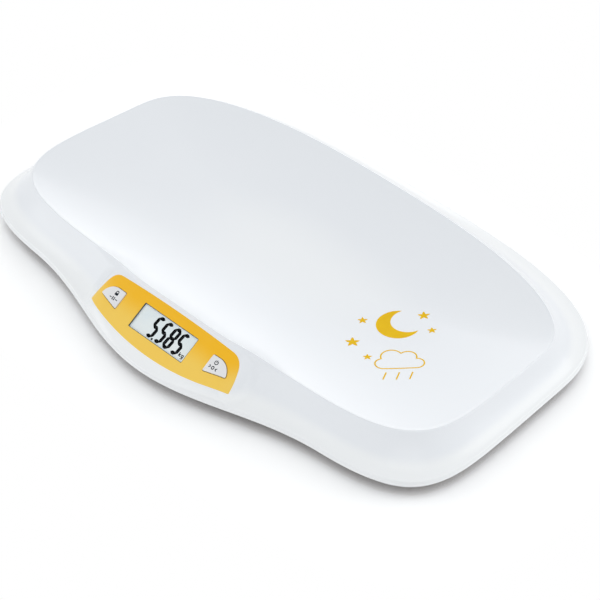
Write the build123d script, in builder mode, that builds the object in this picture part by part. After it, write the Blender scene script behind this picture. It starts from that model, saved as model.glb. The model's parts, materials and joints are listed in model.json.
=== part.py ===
"""Digital baby weighing scale: one long dished tray that stands on four sprung corner feet.

Millimetres. +X runs along the tray, -Y is the console side and +Z is up. The origin is on the
floor under the middle of the tray's outline. The front skirt swells out in the middle to carry
a sloping console with a display and two buttons. A base plate closes the tray from below and
holds the battery bay, the load cells and the feet.
"""

import os
from dataclasses import dataclass
from math import cos, hypot, pi, radians, sin

from build123d import *

os.makedirs("parts", exist_ok=True)

# ---------------------------------------------------------------- driving dimensions: tray
LIP_BOTTOM = 15.0
LIP_TOP = 20.0
RIM_Z = 47.0
WALL = 2.5
RIM_HALF = 0.6  # half of the rim's flat top
OUTLINE_POINTS = 72

DISH_FLOOR = 27.0
DISH_POWER = 2.6
DISH_Y = 11.0  # the lowest point of the dish

# ---------------------------------------------------------------- driving dimensions: console
CONSOLE_TILT = 32.5
CONSOLE_Y = -141.15
CONSOLE_Z = 37.5
CONSOLE_HALF = 98.0
SHOULDER_R = 30.0
CONSOLE_WALL = 3.0
CONSOLE_DEPTH = 30.0
POCKET_DEPTH = 7.0
CREST_HUMP = 5.6  # how far the rim rises behind the console
HUMP_FLAT = 68.0
HUMP_END = 130.0
CREST_FRONT = -120.2  # the rim's middle, behind the console

PANEL_THICK = 1.2
TIP_U, TIP_V = 85.8, -10.7
PANEL_CORNER_U, PANEL_CORNER_V = 77.5, 19.6
PANEL_TOP_V, PANEL_BOTTOM_V = 21.6, -24.4
PANEL_SIDE_U, PANEL_SIDE_V = 83.4, 3.5
PANEL_CORNER_R = 9.0

WINDOW_U, WINDOW_V = 66.4, 24.7
GLASS_U, GLASS_V, GLASS_THICK = 69.6, 27.6, 2.8
GLASS_TOP = -1.3
BOARD_TOP = -8.0
BOARD_THICK = 1.6
BOARD_U, BOARD_V = 158.0, 34.0
POST_U, POST_V = 46.5, 12.5

BUTTON_INNER, BUTTON_OUTER = 54.7, 76.8
BUTTON_PROUD = 0.8
KEYPAD_TOP = -5.9

# ---------------------------------------------------------------- driving dimensions: base
BASE_BOTTOM = 9.0
BASE_FLOOR = 11.5
BASE_TOP = 17.0
BASE_INSET = 5.0
BASE_SCREWS = [(side * x, y) for x, y in ((232, -20), (232, 60), (100, -96), (95, 112)) for side in (-1, 1)]
BOSS_R = 4.0
SCREW_R = 1.5
PILOT_DEPTH = 14.0

FEET = {
    "front_left": (-198, -78),
    "front_right": (198, -78),
    "back_left": (-180, 98),
    "back_right": (180, 98),
}
FOOT_R = 21.0
FOOT_HOLE_R = 21.5
FLANGE_R = 23.5
PAD_R = 17.0
CELL_SIDE = 44.0
CELL_Z = 15.3
CELL_THICK = 2.0
BRACKET_SIDE = 56.0
BRACKET_TOP = 18.8

BAY_Y = -75.0
BAY_LENGTH, BAY_WIDTH = 50.0, 34.4
BAY_TOP = 23.2
BAY_WALL = 1.6
CELL_PITCH = 11.2
BATTERY_R, BATTERY_LENGTH = 5.25, 44.5
CONTACT_THICK = 0.5
SPRING_WIRE_R = 0.28
COVER_LENGTH, COVER_WIDTH = 60.0, 40.0
COVER_TOP = 11.4
COVER_GAP = 0.3
HINGE_R = 1.2
UNIT_X, UNIT_Y = 62.0, -75.0
LEAD_R = 1.3
LEAD_Z = 14.0


# ---------------------------------------------------------------- plan outlines
@dataclass
class Outline:
    """A tapered superellipse whose front swells out by a raised cosine.

    Front and back have their own depth and fullness and meet at split_y, where both run
    straight. A swell of this height reaches its full size inside swell_flat.
    """

    half: float
    split_y: float
    front: float
    back: float
    front_power: float
    back_power: float
    swell: float
    swell_flat: float
    swell_end: float
    taper: float = 0.00034

    def point(self, angle, inset=0.0):
        """The outline's point at this angle, moved inwards by the inset."""
        x, y = self._raw(angle)
        if inset == 0:
            return x, y
        step = 0.01
        ahead_x, ahead_y = self._raw(angle + step)
        behind_x, behind_y = self._raw(angle - step)
        run_x, run_y = ahead_x - behind_x, ahead_y - behind_y
        run = hypot(run_x, run_y)
        return x - inset * run_y / run, y + inset * run_x / run

    def _raw(self, angle):
        c, s = cos(angle), sin(angle)
        power, depth = (self.front_power, self.front) if s < 0 else (self.back_power, self.back)
        reach = (abs(c) ** power + abs(s) ** power) ** (-1 / power)
        rise = depth * reach * s
        x = self.half * (1 - self.taper * rise) * reach * c
        if s < 0:
            rise -= self.swell * bump(x, self.swell_flat, self.swell_end)
        return x, self.split_y + rise


def bump(x, flat, end):
    """1 inside flat, then a half cosine down to 0 at end."""
    if abs(x) >= end:
        return 0.0
    if abs(x) <= flat:
        return 1.0
    return 0.5 + 0.5 * cos(pi * (abs(x) - flat) / (end - flat))


EDGE = Outline(266.0, 51.0, 186.5, 121.0, 6.0, 3.2, 36.5, 0.0, 180.0)
CREST = Outline(247.5, 51.0, 162.7, 83.0, 5.4, 2.6, 8.5, 40.0, 135.0)


def ring(outline, inset=0.0):
    return [outline.point(2 * pi * i / OUTLINE_POINTS, inset) for i in range(OUTLINE_POINTS)]


def skirt_ring(share, inset=0.0):
    """The ring that lies this share of the way from the crest out to the edge."""
    pairs = zip(ring(CREST, inset - RIM_HALF), ring(EDGE, inset))
    return [(a + share * (c - a), b + share * (d - b)) for (a, b), (c, d) in pairs]


def skirt_z(share):
    """The skirt falls steeply from the crest and runs out flat at the edge."""
    rest = 1 - share
    return LIP_TOP + (RIM_Z - LIP_TOP) * (0.85 * rest**2 + 0.15 * rest)


def dish_outline(share):
    """The dish's level line: the crest shrunk towards the dish's middle, and rounder there."""
    rounder = share**2
    return Outline(
        CREST.half * share,
        DISH_Y + (CREST.split_y - DISH_Y) * share,
        CREST.front * share,
        CREST.back * share,
        2 + (CREST.front_power - 2) * rounder,
        2 + (CREST.back_power - 2) * rounder,
        CREST.swell * rounder * share,
        CREST.swell_flat,
        CREST.swell_end,
    )


def dish_z(share):
    return DISH_FLOOR + (RIM_Z - DISH_FLOOR) * share**DISH_POWER


def slice_at(points, z):
    """A flat face inside a closed smooth line through these points, at height z."""
    with BuildSketch(Plane.XY.offset(z)) as flat:
        with BuildLine():
            Spline(*points, periodic=True)
        make_face()
    return flat.sketch


# ---------------------------------------------------------------- the console's own plane
TILT = radians(CONSOLE_TILT)
CONSOLE = Plane(
    origin=(0, CONSOLE_Y, CONSOLE_Z),
    x_dir=(1, 0, 0),
    z_dir=(0, -sin(TILT), cos(TILT)),
)


def console_point(u, v, height):
    """A place given along the console, up its slope and out of it."""
    return CONSOLE.from_local_coords(Vector(u, v, height))


def console_bar(height):
    """The console's long form, its top at height: flat in the middle, with round shoulders."""
    upslope = Plane(origin=CONSOLE.origin, x_dir=(1, 0, 0), z_dir=CONSOLE.y_dir)
    with BuildPart() as bar:
        with BuildSketch(upslope) as form:
            with Locations((0, CONSOLE_DEPTH / 2 - height / 2)):
                Rectangle(2 * (CONSOLE_HALF + height), CONSOLE_DEPTH + height)
            fillet(form.vertices().group_by(Axis.Y)[0], SHOULDER_R + height)
        extrude(amount=70, both=True)
    return bar.part


def panel_block(grow):
    """The overlay's outline: arcs at top, bottom and sides, round top corners, sharp lower tips."""
    corner_u, corner_v = PANEL_CORNER_U + grow, PANEL_CORNER_V + grow
    side_u, tip_u = PANEL_SIDE_U + grow, TIP_U + grow
    top_v, bottom_v = PANEL_TOP_V + grow, PANEL_BOTTOM_V - grow
    with BuildPart() as block:
        with BuildSketch(CONSOLE) as face:
            with BuildLine():
                ThreePointArc((-corner_u, corner_v), (0, top_v), (corner_u, corner_v))
                ThreePointArc((corner_u, corner_v), (side_u, PANEL_SIDE_V), (tip_u, TIP_V))
                ThreePointArc((tip_u, TIP_V), (0, bottom_v), (-tip_u, TIP_V))
                ThreePointArc((-tip_u, TIP_V), (-side_u, PANEL_SIDE_V), (-corner_u, corner_v))
            make_face()
            fillet(face.vertices().group_by(Axis.Y)[-1], PANEL_CORNER_R)
        extrude(amount=20, both=True)
    return block.part


def button_block(side, grow=0.0):
    """A shield: straight inner side and top, one arc round the outer end, straight below."""
    with BuildPart() as block:
        with BuildSketch(CONSOLE) as face:
            with BuildLine():
                Polyline((side * 63.0, 9.4), (side * BUTTON_INNER, 9.3), (side * BUTTON_INNER, -7.1))
                Line((side * BUTTON_INNER, -7.1), (side * BUTTON_OUTER, -1.7))
                ThreePointArc((side * BUTTON_OUTER, -1.7), (side * 71.0, 7.0), (side * 63.0, 9.4))
            make_face()
            fillet(face.vertices().filter_by(lambda v: abs(v.Y - 9.4) > 0.05), 1.0)
            if grow:
                offset(amount=grow)
        extrude(amount=POCKET_DEPTH, both=True)
    return block.part


def save(part, name):
    part.label = name
    export_step(part, f"parts/{name}.step")


# ---------------------------------------------------------------- tray shell
SKIRT_SHARES = [1.0, 0.8, 0.6, 0.4, 0.2, 0.0]
DISH_SHARES = [0.93, 0.8, 0.65, 0.5, 0.35, 0.2]
CONSOLE_TOP_Z = RIM_Z + CREST_HUMP

with BuildPart() as recess:
    add(panel_block(0.15))
    add(console_bar(-PANEL_THICK), mode=Mode.SUBTRACT)

with BuildPart() as console_block:
    add(console_bar(0))
    add(slice_at(ring(EDGE), LIP_BOTTOM))
    extrude(amount=60, mode=Mode.INTERSECT)
    with Locations((0, -260, 40)):
        Box(600, 300, 200, mode=Mode.INTERSECT)
    # Recess for the overlay, then the pockets behind the display and the buttons.
    add(recess.part, mode=Mode.SUBTRACT)
    with BuildSketch(CONSOLE):
        Rectangle(GLASS_U + 0.4, GLASS_V + 0.4)
    extrude(amount=-POCKET_DEPTH, mode=Mode.SUBTRACT)
    for side in (-1, 1):
        add(button_block(side, 0.4), mode=Mode.SUBTRACT)

# The rim's rise behind the console: a ridge with one flat stretch and two falling ends.
with BuildPart() as ridge:
    for x, rise in ((-HUMP_END, 0.2), (-HUMP_FLAT, CREST_HUMP), (HUMP_FLAT, CREST_HUMP), (HUMP_END, 0.2)):
        front = CREST_FRONT + CREST.swell * (1 - bump(x, CREST.swell_flat, CREST.swell_end))
        with BuildSketch(Plane.YZ.offset(x)):
            with BuildLine():
                Polyline(
                    (front - 1.6, RIM_Z - 3),
                    (front - 1.6, RIM_Z + 0.5 * rise),
                    (front - RIM_HALF, RIM_Z + rise),
                    (front + 6, RIM_Z + rise),
                    (front + 12, RIM_Z - 3),
                    close=True,
                )
            make_face()
    loft(ruled=True)

with BuildPart() as console_hollow:
    add(console_bar(-CONSOLE_WALL))
    add(slice_at(ring(EDGE, CONSOLE_WALL), LIP_BOTTOM))
    extrude(amount=60, mode=Mode.INTERSECT)
    with Locations((0, -260, 40)):
        Box(600, 300, 200, mode=Mode.INTERSECT)

with BuildPart() as bowl:
    add(slice_at(ring(CREST, -RIM_HALF), RIM_Z))
    for share in DISH_SHARES:
        add(slice_at(ring(dish_outline(share)), dish_z(share) - WALL))
    loft()
    # Bosses that the base screws go up into. The dish's surface trims their tops.
    with BuildSketch(Plane.XY.offset(BASE_FLOOR + 0.2)):
        with Locations(*BASE_SCREWS):
            Circle(BOSS_R)
    extrude(amount=RIM_Z - BASE_FLOOR - 0.2)

with BuildPart() as dish:
    add(slice_at(ring(CREST, RIM_HALF), RIM_Z))
    for share in DISH_SHARES:
        add(slice_at(ring(dish_outline(share)), dish_z(share)))
    loft()
    add(slice_at(ring(CREST, RIM_HALF), RIM_Z))
    extrude(amount=20)

with BuildPart() as tray_shell:
    add(slice_at(ring(EDGE), LIP_BOTTOM))
    extrude(amount=LIP_TOP - LIP_BOTTOM)
    for share in SKIRT_SHARES:
        add(slice_at(skirt_ring(share), skirt_z(share)))
    loft()
    add(console_block.part)
    add(ridge.part)
    add(slice_at(ring(EDGE, WALL), LIP_BOTTOM))
    extrude(amount=LIP_TOP - LIP_BOTTOM - WALL, mode=Mode.SUBTRACT)
    for share in SKIRT_SHARES:
        add(slice_at(skirt_ring(share, WALL), skirt_z(share) - WALL))
    loft(mode=Mode.SUBTRACT)
    add(console_hollow.part, mode=Mode.SUBTRACT)
    add(bowl.part)
    add(dish.part, mode=Mode.SUBTRACT)
    # Posts that carry the circuit board.
    with BuildSketch(CONSOLE.offset(BOARD_TOP)):
        with GridLocations(2 * POST_U, 2 * POST_V, 2, 2):
            Circle(2.8)
            Circle(1.1, mode=Mode.SUBTRACT)
    extrude(amount=-BOARD_TOP - CONSOLE_WALL + 0.5)
    with BuildSketch(Plane.XY.offset(BASE_FLOOR)):
        with Locations(*BASE_SCREWS):
            Circle(SCREW_R + 0.1)
    extrude(amount=PILOT_DEPTH, mode=Mode.SUBTRACT)
save(tray_shell.part, "tray_shell")

# ---------------------------------------------------------------- console: overlay, window, display
with BuildPart() as console_panel:
    add(panel_block(0))
    add(console_bar(0), mode=Mode.INTERSECT)
    add(console_bar(-PANEL_THICK), mode=Mode.SUBTRACT)
    with BuildSketch(CONSOLE.offset(-5)):
        Rectangle(WINDOW_U + 0.2, WINDOW_V + 0.2)
    extrude(amount=10, mode=Mode.SUBTRACT)
    for side in (-1, 1):
        add(button_block(side, 0.35), mode=Mode.SUBTRACT)
save(console_panel.part, "console_panel")

with BuildPart() as display_window:
    with BuildSketch(CONSOLE.offset(-PANEL_THICK)):
        Rectangle(WINDOW_U, WINDOW_V)
    extrude(amount=0.7)
save(display_window.part, "display_window")

with BuildPart() as display_glass:
    with BuildSketch(CONSOLE.offset(GLASS_TOP - GLASS_THICK)):
        Rectangle(GLASS_U, GLASS_V)
    extrude(amount=GLASS_THICK)
save(display_glass.part, "display_glass")

HOLDER_TOP = -CONSOLE_WALL - 0.1
with BuildPart() as display_holder:
    with BuildSketch(CONSOLE.offset(BOARD_TOP + 0.05)):
        Rectangle(82, 36)
        Rectangle(GLASS_U + 0.4, GLASS_V + 0.4, mode=Mode.SUBTRACT)
        with GridLocations(2 * POST_U, 2 * POST_V, 2, 2):
            Circle(3.2, mode=Mode.SUBTRACT)
    extrude(amount=HOLDER_TOP - BOARD_TOP - 0.05)
save(display_holder.part, "display_holder")

with BuildPart() as connector_strips:
    with BuildSketch(CONSOLE.offset(BOARD_TOP)):
        with GridLocations(0, GLASS_V - 3.2, 1, 2):
            Rectangle(66, 2)
    extrude(amount=GLASS_TOP - GLASS_THICK - BOARD_TOP)
save(connector_strips.part, "connector_strips")

# ---------------------------------------------------------------- console: buttons and keypads
for side, name in ((-1, "hold_button"), (1, "tare_button")):
    with BuildPart() as button:
        add(button_block(side))
        add(console_bar(BUTTON_PROUD), mode=Mode.INTERSECT)
        with BuildSketch(CONSOLE.offset(-5.0)):
            Rectangle(200, 80)
        extrude(amount=-10, mode=Mode.SUBTRACT)
        with BuildSketch(CONSOLE.offset(-5.0)):
            with Locations((side * 62, 1)):
                Rectangle(18, 19)
        extrude(amount=5.0 - CONSOLE_WALL - 0.2)
    save(button.part, name)

for side, name in ((-1, "hold_keypad"), (1, "tare_keypad")):
    with BuildPart() as keypad:
        with BuildSketch(CONSOLE.offset(BOARD_TOP)):
            with Locations((side * 65, 1)):
                RectangleRounded(24, 20, 2)
        extrude(amount=0.9)
        with BuildSketch(CONSOLE.offset(BOARD_TOP + 0.9)):
            with Locations((side * 64, 1)):
                Circle(5.5)
        extrude(amount=KEYPAD_TOP - BOARD_TOP - 0.9, taper=25)
    save(keypad.part, name)

# ---------------------------------------------------------------- circuit board and what it carries
with BuildPart() as circuit_board:
    with BuildSketch(CONSOLE.offset(BOARD_TOP - BOARD_THICK)):
        RectangleRounded(BOARD_U, BOARD_V, 2)
        with GridLocations(2 * POST_U, 2 * POST_V, 2, 2):
            Circle(1.2, mode=Mode.SUBTRACT)
    extrude(amount=BOARD_THICK)
save(circuit_board.part, "circuit_board")

BOARD_BACK = BOARD_TOP - BOARD_THICK
with BuildPart() as circuit_chip:
    with BuildSketch(CONSOLE.offset(BOARD_BACK)):
        with Locations((34, -2)):
            Circle(7)
    extrude(amount=-1.8, taper=30)
save(circuit_chip.part, "circuit_chip")

with BuildPart() as board_parts:
    with BuildSketch(CONSOLE.offset(BOARD_BACK)):
        with GridLocations(9, 8, 3, 2):
            Rectangle(3.2, 1.6)
        with Locations((-34, -3)):
            Rectangle(11, 4.6)
    extrude(amount=-1.2)
save(board_parts.part, "board_parts")

with BuildPart() as board_screws:
    with BuildSketch(CONSOLE.offset(BOARD_BACK)):
        with GridLocations(2 * POST_U, 2 * POST_V, 2, 2):
            Circle(2.1)
    extrude(amount=-1.4)
    with BuildSketch(CONSOLE.offset(BOARD_BACK)):
        with GridLocations(2 * POST_U, 2 * POST_V, 2, 2):
            Circle(1.0)
    extrude(amount=5.5)
save(board_screws.part, "board_screws")

SOCKET_V, SOCKET_DEEP = 9.0, 4.5
with BuildPart() as lead_socket:
    with BuildSketch(CONSOLE.offset(BOARD_BACK)):
        with Locations((0, SOCKET_V + 5)):
            Rectangle(26, 5)
    extrude(amount=-SOCKET_DEEP)
save(lead_socket.part, "lead_socket")

# ---------------------------------------------------------------- base plate
with BuildPart() as base_plate:
    add(slice_at(ring(EDGE, BASE_INSET), BASE_BOTTOM))
    extrude(amount=BASE_TOP - BASE_BOTTOM)
    fillet(base_plate.edges().group_by(Axis.Z)[0], 1.5)
    add(slice_at(ring(EDGE, BASE_INSET + 2), BASE_FLOOR))
    extrude(amount=BASE_TOP, mode=Mode.SUBTRACT)
    # Battery bay: a ledge round the cover's opening, then four walls and a roof.
    with BuildSketch(Plane.XY.offset(BASE_FLOOR)):
        with Locations((0, BAY_Y)):
            Rectangle(COVER_LENGTH + 4, COVER_WIDTH + 4)
    extrude(amount=BAY_WALL)
    with BuildSketch(Plane.XY.offset(BASE_FLOOR)):
        with Locations((0, BAY_Y)):
            Rectangle(BAY_LENGTH + 2 * BAY_WALL, BAY_WIDTH + 2 * BAY_WALL)
    extrude(amount=BAY_TOP + BAY_WALL - BASE_FLOOR)
    with BuildSketch(Plane.XY.offset(BASE_FLOOR - 0.1)):
        with Locations((0, BAY_Y)):
            Rectangle(BAY_LENGTH, BAY_WIDTH)
    extrude(amount=BAY_TOP - BASE_FLOOR + 0.1, mode=Mode.SUBTRACT)
    with BuildSketch(Plane.XY.offset(BASE_BOTTOM)):
        with Locations((0, BAY_Y)):
            RectangleRounded(COVER_LENGTH + 2 * COVER_GAP, COVER_WIDTH + 2 * COVER_GAP, 1.2)
        with Locations(*FEET.values()):
            Circle(FOOT_HOLE_R)
        with Locations((UNIT_X, UNIT_Y)):
            Circle(4.3)
        with Locations(*BASE_SCREWS):
            Circle(SCREW_R + 0.2)
    extrude(amount=BASE_FLOOR - BASE_BOTTOM, mode=Mode.SUBTRACT)
    with BuildSketch(Plane.XY.offset(BASE_BOTTOM)):
        with Locations(*BASE_SCREWS):
            Circle(3.4)
        # Finger notch beside the cover's latch.
        with Locations((COVER_LENGTH / 2 + 2, BAY_Y)):
            Circle(8)
    extrude(amount=1.5, mode=Mode.SUBTRACT)
    # Stiffening ribs on the floor, and the ring that guides the unit button's switch board.
    with BuildSketch(Plane.XY.offset(BASE_FLOOR)):
        with Locations((0, -10), (0, 40), (0, 90)):
            Rectangle(110, 1.6)
        with Locations((-125, 0), (125, 0)):
            Rectangle(1.6, 100)
        with Locations((UNIT_X - 7.5, UNIT_Y), (UNIT_X + 7.5, UNIT_Y)):
            Rectangle(1.6, 14)
    extrude(amount=4)
save(base_plate.part, "base_plate")

with BuildPart() as base_screws:
    with BuildSketch(Plane.XY.offset(BASE_BOTTOM + 0.2)):
        with Locations(*BASE_SCREWS):
            Circle(3.0)
    extrude(amount=1.3)
    with BuildSketch(Plane.XY.offset(BASE_BOTTOM + 0.2)):
        with Locations(*BASE_SCREWS):
            Circle(SCREW_R)
    extrude(amount=13)
    with BuildSketch(Plane.XY.offset(BASE_BOTTOM + 0.2)):
        with Locations(*BASE_SCREWS):
            Rectangle(3.6, 0.8)
            Rectangle(0.8, 3.6)
    extrude(amount=0.9, mode=Mode.SUBTRACT)
save(base_screws.part, "base_screws")

# ---------------------------------------------------------------- batteries, contacts and cover
BATTERY_Z = COVER_TOP + 0.3 + BATTERY_R
for number in (1, 2, 3):
    turned = -1 if number == 2 else 1
    row_y = BAY_Y + CELL_PITCH * (number - 2)
    flat_end = BAY_LENGTH / 2 - CONTACT_THICK - BATTERY_LENGTH
    centre = Plane(origin=(turned * flat_end, row_y, BATTERY_Z), z_dir=(turned, 0, 0))
    with BuildPart() as battery:
        with BuildSketch(centre):
            Circle(BATTERY_R)
        extrude(amount=BATTERY_LENGTH - 1)
        with BuildSketch(centre.offset(BATTERY_LENGTH - 1)):
            Circle(1.9)
        extrude(amount=1)
        fillet(battery.edges().filter_by(GeomType.CIRCLE).sort_by(SortBy.RADIUS)[-2:], 0.4)
    save(battery.part, f"battery_{number}")

with BuildPart() as battery_contacts:
    for side in (-1, 1):
        with BuildSketch(Plane.YZ.offset(side * (BAY_LENGTH / 2 - CONTACT_THICK / 2))):
            with Locations((BAY_Y, BATTERY_Z)):
                with GridLocations(CELL_PITCH, 0, 3, 1):
                    Rectangle(8, 9)
        extrude(amount=CONTACT_THICK / 2, both=True)
save(battery_contacts.part, "battery_contacts")

# Each cell's flat end is pushed by a cone-shaped spring.
SPRING_SEAT = BAY_LENGTH / 2 - CONTACT_THICK - SPRING_WIRE_R - 0.05
SPRING_HEIGHT = BAY_LENGTH - 2 * CONTACT_THICK - BATTERY_LENGTH - 2 * SPRING_WIRE_R - 0.1
with BuildPart() as battery_springs:
    for number in (1, 2, 3):
        turned = -1 if number == 2 else 1
        seat = (-turned * SPRING_SEAT, BAY_Y + CELL_PITCH * (number - 2), BATTERY_Z)
        with BuildLine():
            turns = Helix(
                pitch=1.2,
                height=SPRING_HEIGHT,
                radius=3.2,
                center=seat,
                direction=(turned, 0, 0),
                cone_angle=14,
            )
        with BuildSketch(Plane(origin=turns @ 0, z_dir=turns % 0)):
            Circle(SPRING_WIRE_R)
        sweep(path=turns)
save(battery_springs.part, "battery_springs")

HINGE_X, HINGE_Z = -COVER_LENGTH / 2 + HINGE_R, BASE_BOTTOM + HINGE_R
with BuildPart() as battery_cover:
    with BuildSketch(Plane.XY.offset(BASE_BOTTOM)):
        with Locations((HINGE_R / 2, BAY_Y)):
            RectangleRounded(COVER_LENGTH - HINGE_R, COVER_WIDTH, 1.5)
    extrude(amount=COVER_TOP - BASE_BOTTOM)
    with BuildSketch(Plane.XZ.offset(-BAY_Y - COVER_WIDTH / 2 + 3)):
        with Locations((HINGE_X, HINGE_Z)):
            Circle(HINGE_R)
    extrude(amount=COVER_WIDTH - 6)
    # Three finger grooves at the free end.
    with BuildSketch(Plane.XY.offset(BASE_BOTTOM)):
        with Locations(*[(COVER_LENGTH / 2 - inwards, BAY_Y) for inwards in (4, 7, 10)]):
            Rectangle(1.2, 14)
    extrude(amount=0.5, mode=Mode.SUBTRACT)
save(battery_cover.part, "battery_cover")

# ---------------------------------------------------------------- unit button and its switch
with BuildPart() as unit_button:
    with BuildSketch(Plane.XY.offset(BASE_BOTTOM + 0.4)):
        with Locations((UNIT_X, UNIT_Y)):
            Circle(4.0)
    extrude(amount=BASE_FLOOR - BASE_BOTTOM - 0.2)
    with BuildSketch(Plane.XY.offset(BASE_FLOOR + 0.2)):
        with Locations((UNIT_X, UNIT_Y)):
            Circle(5.5)
    extrude(amount=1.2)
    fillet(unit_button.edges().filter_by(GeomType.CIRCLE).group_by(Axis.Z)[0], 0.5)
save(unit_button.part, "unit_button")

with BuildPart() as unit_switch:
    with BuildSketch(Plane.XY.offset(BASE_FLOOR + 4)):
        with Locations((UNIT_X, UNIT_Y)):
            Rectangle(20, 14)
    extrude(amount=1.6)
    with BuildSketch(Plane.XY.offset(BASE_FLOOR + 4)):
        with Locations((UNIT_X, UNIT_Y)):
            Rectangle(6, 6)
    extrude(amount=-1.6)
save(unit_switch.part, "unit_switch")

# ---------------------------------------------------------------- corners: feet, load cells, brackets
with BuildPart() as load_cell_screws:
    with BuildSketch(Plane.XY.offset(CELL_Z + CELL_THICK)):
        for x, y in FEET.values():
            for turn in (-1, 1):
                with Locations((x + turn * 19, y + turn * 19)):
                    Circle(2.2)
    extrude(amount=1.4)
save(load_cell_screws.part, "load_cell_screws")

for corner, (x, y) in FEET.items():
    with BuildPart() as cell_bracket:
        with BuildSketch(Plane.XY.offset(BASE_FLOOR)):
            with Locations((x, y)):
                RectangleRounded(BRACKET_SIDE, BRACKET_SIDE, 5)
                Circle(FLANGE_R + 1, mode=Mode.SUBTRACT)
        extrude(amount=CELL_Z - BASE_FLOOR)
        with BuildSketch(Plane.XY.offset(CELL_Z)):
            with Locations((x, y)):
                RectangleRounded(BRACKET_SIDE, BRACKET_SIDE, 5)
                Rectangle(CELL_SIDE + 0.6, CELL_SIDE + 0.6, mode=Mode.SUBTRACT)
        extrude(amount=BRACKET_TOP - CELL_Z)
    save(cell_bracket.part, f"cell_bracket_{corner}")

    # The load cell: a steel plate with a U-shaped slot that frees the tongue in its middle.
    with BuildPart() as load_cell:
        with BuildSketch(Plane.XY.offset(CELL_Z)):
            with Locations((x, y)):
                RectangleRounded(CELL_SIDE, CELL_SIDE, 3)
                Rectangle(26, 26, mode=Mode.SUBTRACT)
                RectangleRounded(20, 20, 2)
            with Locations((x, y + 11)):
                Rectangle(10, 6)
        extrude(amount=CELL_THICK)
    save(load_cell.part, f"load_cell_{corner}")

    with BuildPart() as foot_cup:
        with BuildSketch(Plane.XY.offset(2)):
            with Locations((x, y)):
                Circle(FOOT_R)
        extrude(amount=BASE_FLOOR + 0.2 - 2)
        fillet(foot_cup.edges().group_by(Axis.Z)[0], 1.5)
        with BuildSketch(Plane.XY.offset(BASE_FLOOR + 0.2)):
            with Locations((x, y)):
                Circle(FLANGE_R)
        extrude(amount=1.5)
        with BuildSketch(Plane.XY.offset(BASE_FLOOR + 1.7)):
            with Locations((x, y)):
                Circle(5)
        extrude(amount=CELL_Z - 0.6 - BASE_FLOOR - 1.7)
        with BuildSketch(Plane.XY.offset(2)):
            with Locations((x, y)):
                Circle(PAD_R)
        extrude(amount=1.5, mode=Mode.SUBTRACT)
    save(foot_cup.part, f"foot_cup_{corner}")

    with BuildPart() as foot_pad:
        with BuildSketch(Plane.XY):
            with Locations((x, y)):
                Circle(PAD_R - 0.05)
        extrude(amount=3.5)
        fillet(foot_pad.edges().group_by(Axis.Z)[0], 0.8)
    save(foot_pad.part, f"foot_pad_{corner}")

# ---------------------------------------------------------------- load-cell leads
# Each lead lies on the base plate's floor and turns up into the socket behind the board.
SOCKET_FACE = console_point(0, SOCKET_V + 5, BOARD_BACK - SOCKET_DEEP)
for corner, (x, y) in FEET.items():
    side = 1 if x > 0 else -1
    leaving_x, leaving_y = x - side * BRACKET_SIDE / 2, y - 8
    if y < 0:
        slot_x = side * 11
        route = [(leaving_x - side * 20, leaving_y), (side * 90, -108), (side * 30, -112)]
    else:
        slot_x = side * 3
        route = [(leaving_x - side * 16, leaving_y)]
        route += [(side * along, across) for along, across in ((112, 60), (62, -28), (42, -80), (36, -100))]
    start = (leaving_x, leaving_y, LEAD_Z)
    entry = Vector(slot_x, SOCKET_FACE.Y, SOCKET_FACE.Z)
    below = entry - CONSOLE.z_dir * 14
    with BuildPart() as lead:
        with BuildLine() as route_line:
            FilletPolyline(start, *[(a, b, LEAD_Z) for a, b in route], below, entry, radius=5)
        with BuildSketch(Plane(origin=start, z_dir=(-side, 0, 0))):
            Circle(LEAD_R)
        sweep()
    print(corner, "lead length", round(route_line.wire().length, 1), "volume", round(lead.part.volume, 1))
    save(lead.part, f"cell_lead_{corner}")
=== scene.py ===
# %% [markdown]
# # A baby weighing scale, dressed for its picture
#
# The real object is one long white tray that a baby lies in. It stands on four feet, and a console
# with a display and two buttons sits in a swelling of its front edge. The mechanical model is
# already there as a fixed frame, so this lesson only adds what the eye sees: smooth surfaces,
# prints, finishes, light and a camera. Shapes are written in millimetres and scaled once, and what
# shaders and lamps measure is in metres.

import json
import math

import bmesh
import bpy
import numpy as np
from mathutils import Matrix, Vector
from mathutils.geometry import delaunay_2d_cdt


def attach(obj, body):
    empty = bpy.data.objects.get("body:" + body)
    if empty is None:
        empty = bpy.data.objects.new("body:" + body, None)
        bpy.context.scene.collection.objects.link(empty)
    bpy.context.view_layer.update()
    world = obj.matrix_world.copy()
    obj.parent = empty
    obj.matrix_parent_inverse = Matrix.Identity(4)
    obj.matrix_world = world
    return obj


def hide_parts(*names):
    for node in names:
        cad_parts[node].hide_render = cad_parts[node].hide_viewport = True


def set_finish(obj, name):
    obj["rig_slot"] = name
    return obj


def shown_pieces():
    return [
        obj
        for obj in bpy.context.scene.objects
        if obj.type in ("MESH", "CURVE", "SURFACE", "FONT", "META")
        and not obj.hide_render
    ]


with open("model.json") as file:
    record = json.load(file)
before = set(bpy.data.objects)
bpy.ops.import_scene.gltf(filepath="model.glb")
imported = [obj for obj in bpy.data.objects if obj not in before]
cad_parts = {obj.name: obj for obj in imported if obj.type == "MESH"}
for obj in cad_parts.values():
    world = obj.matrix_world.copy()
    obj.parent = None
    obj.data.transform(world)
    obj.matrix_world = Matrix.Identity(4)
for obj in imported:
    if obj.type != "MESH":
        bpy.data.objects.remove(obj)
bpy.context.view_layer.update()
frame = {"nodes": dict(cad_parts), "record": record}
MM = 0.001

# %% [markdown]
# ## The camera
#
# A long lens from two metres away makes the tray's far end hardly smaller than its near end. A
# camera could be aimed with a constraint, but two angles, a distance and a target say the same
# thing in numbers that are easy to change.

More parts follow.
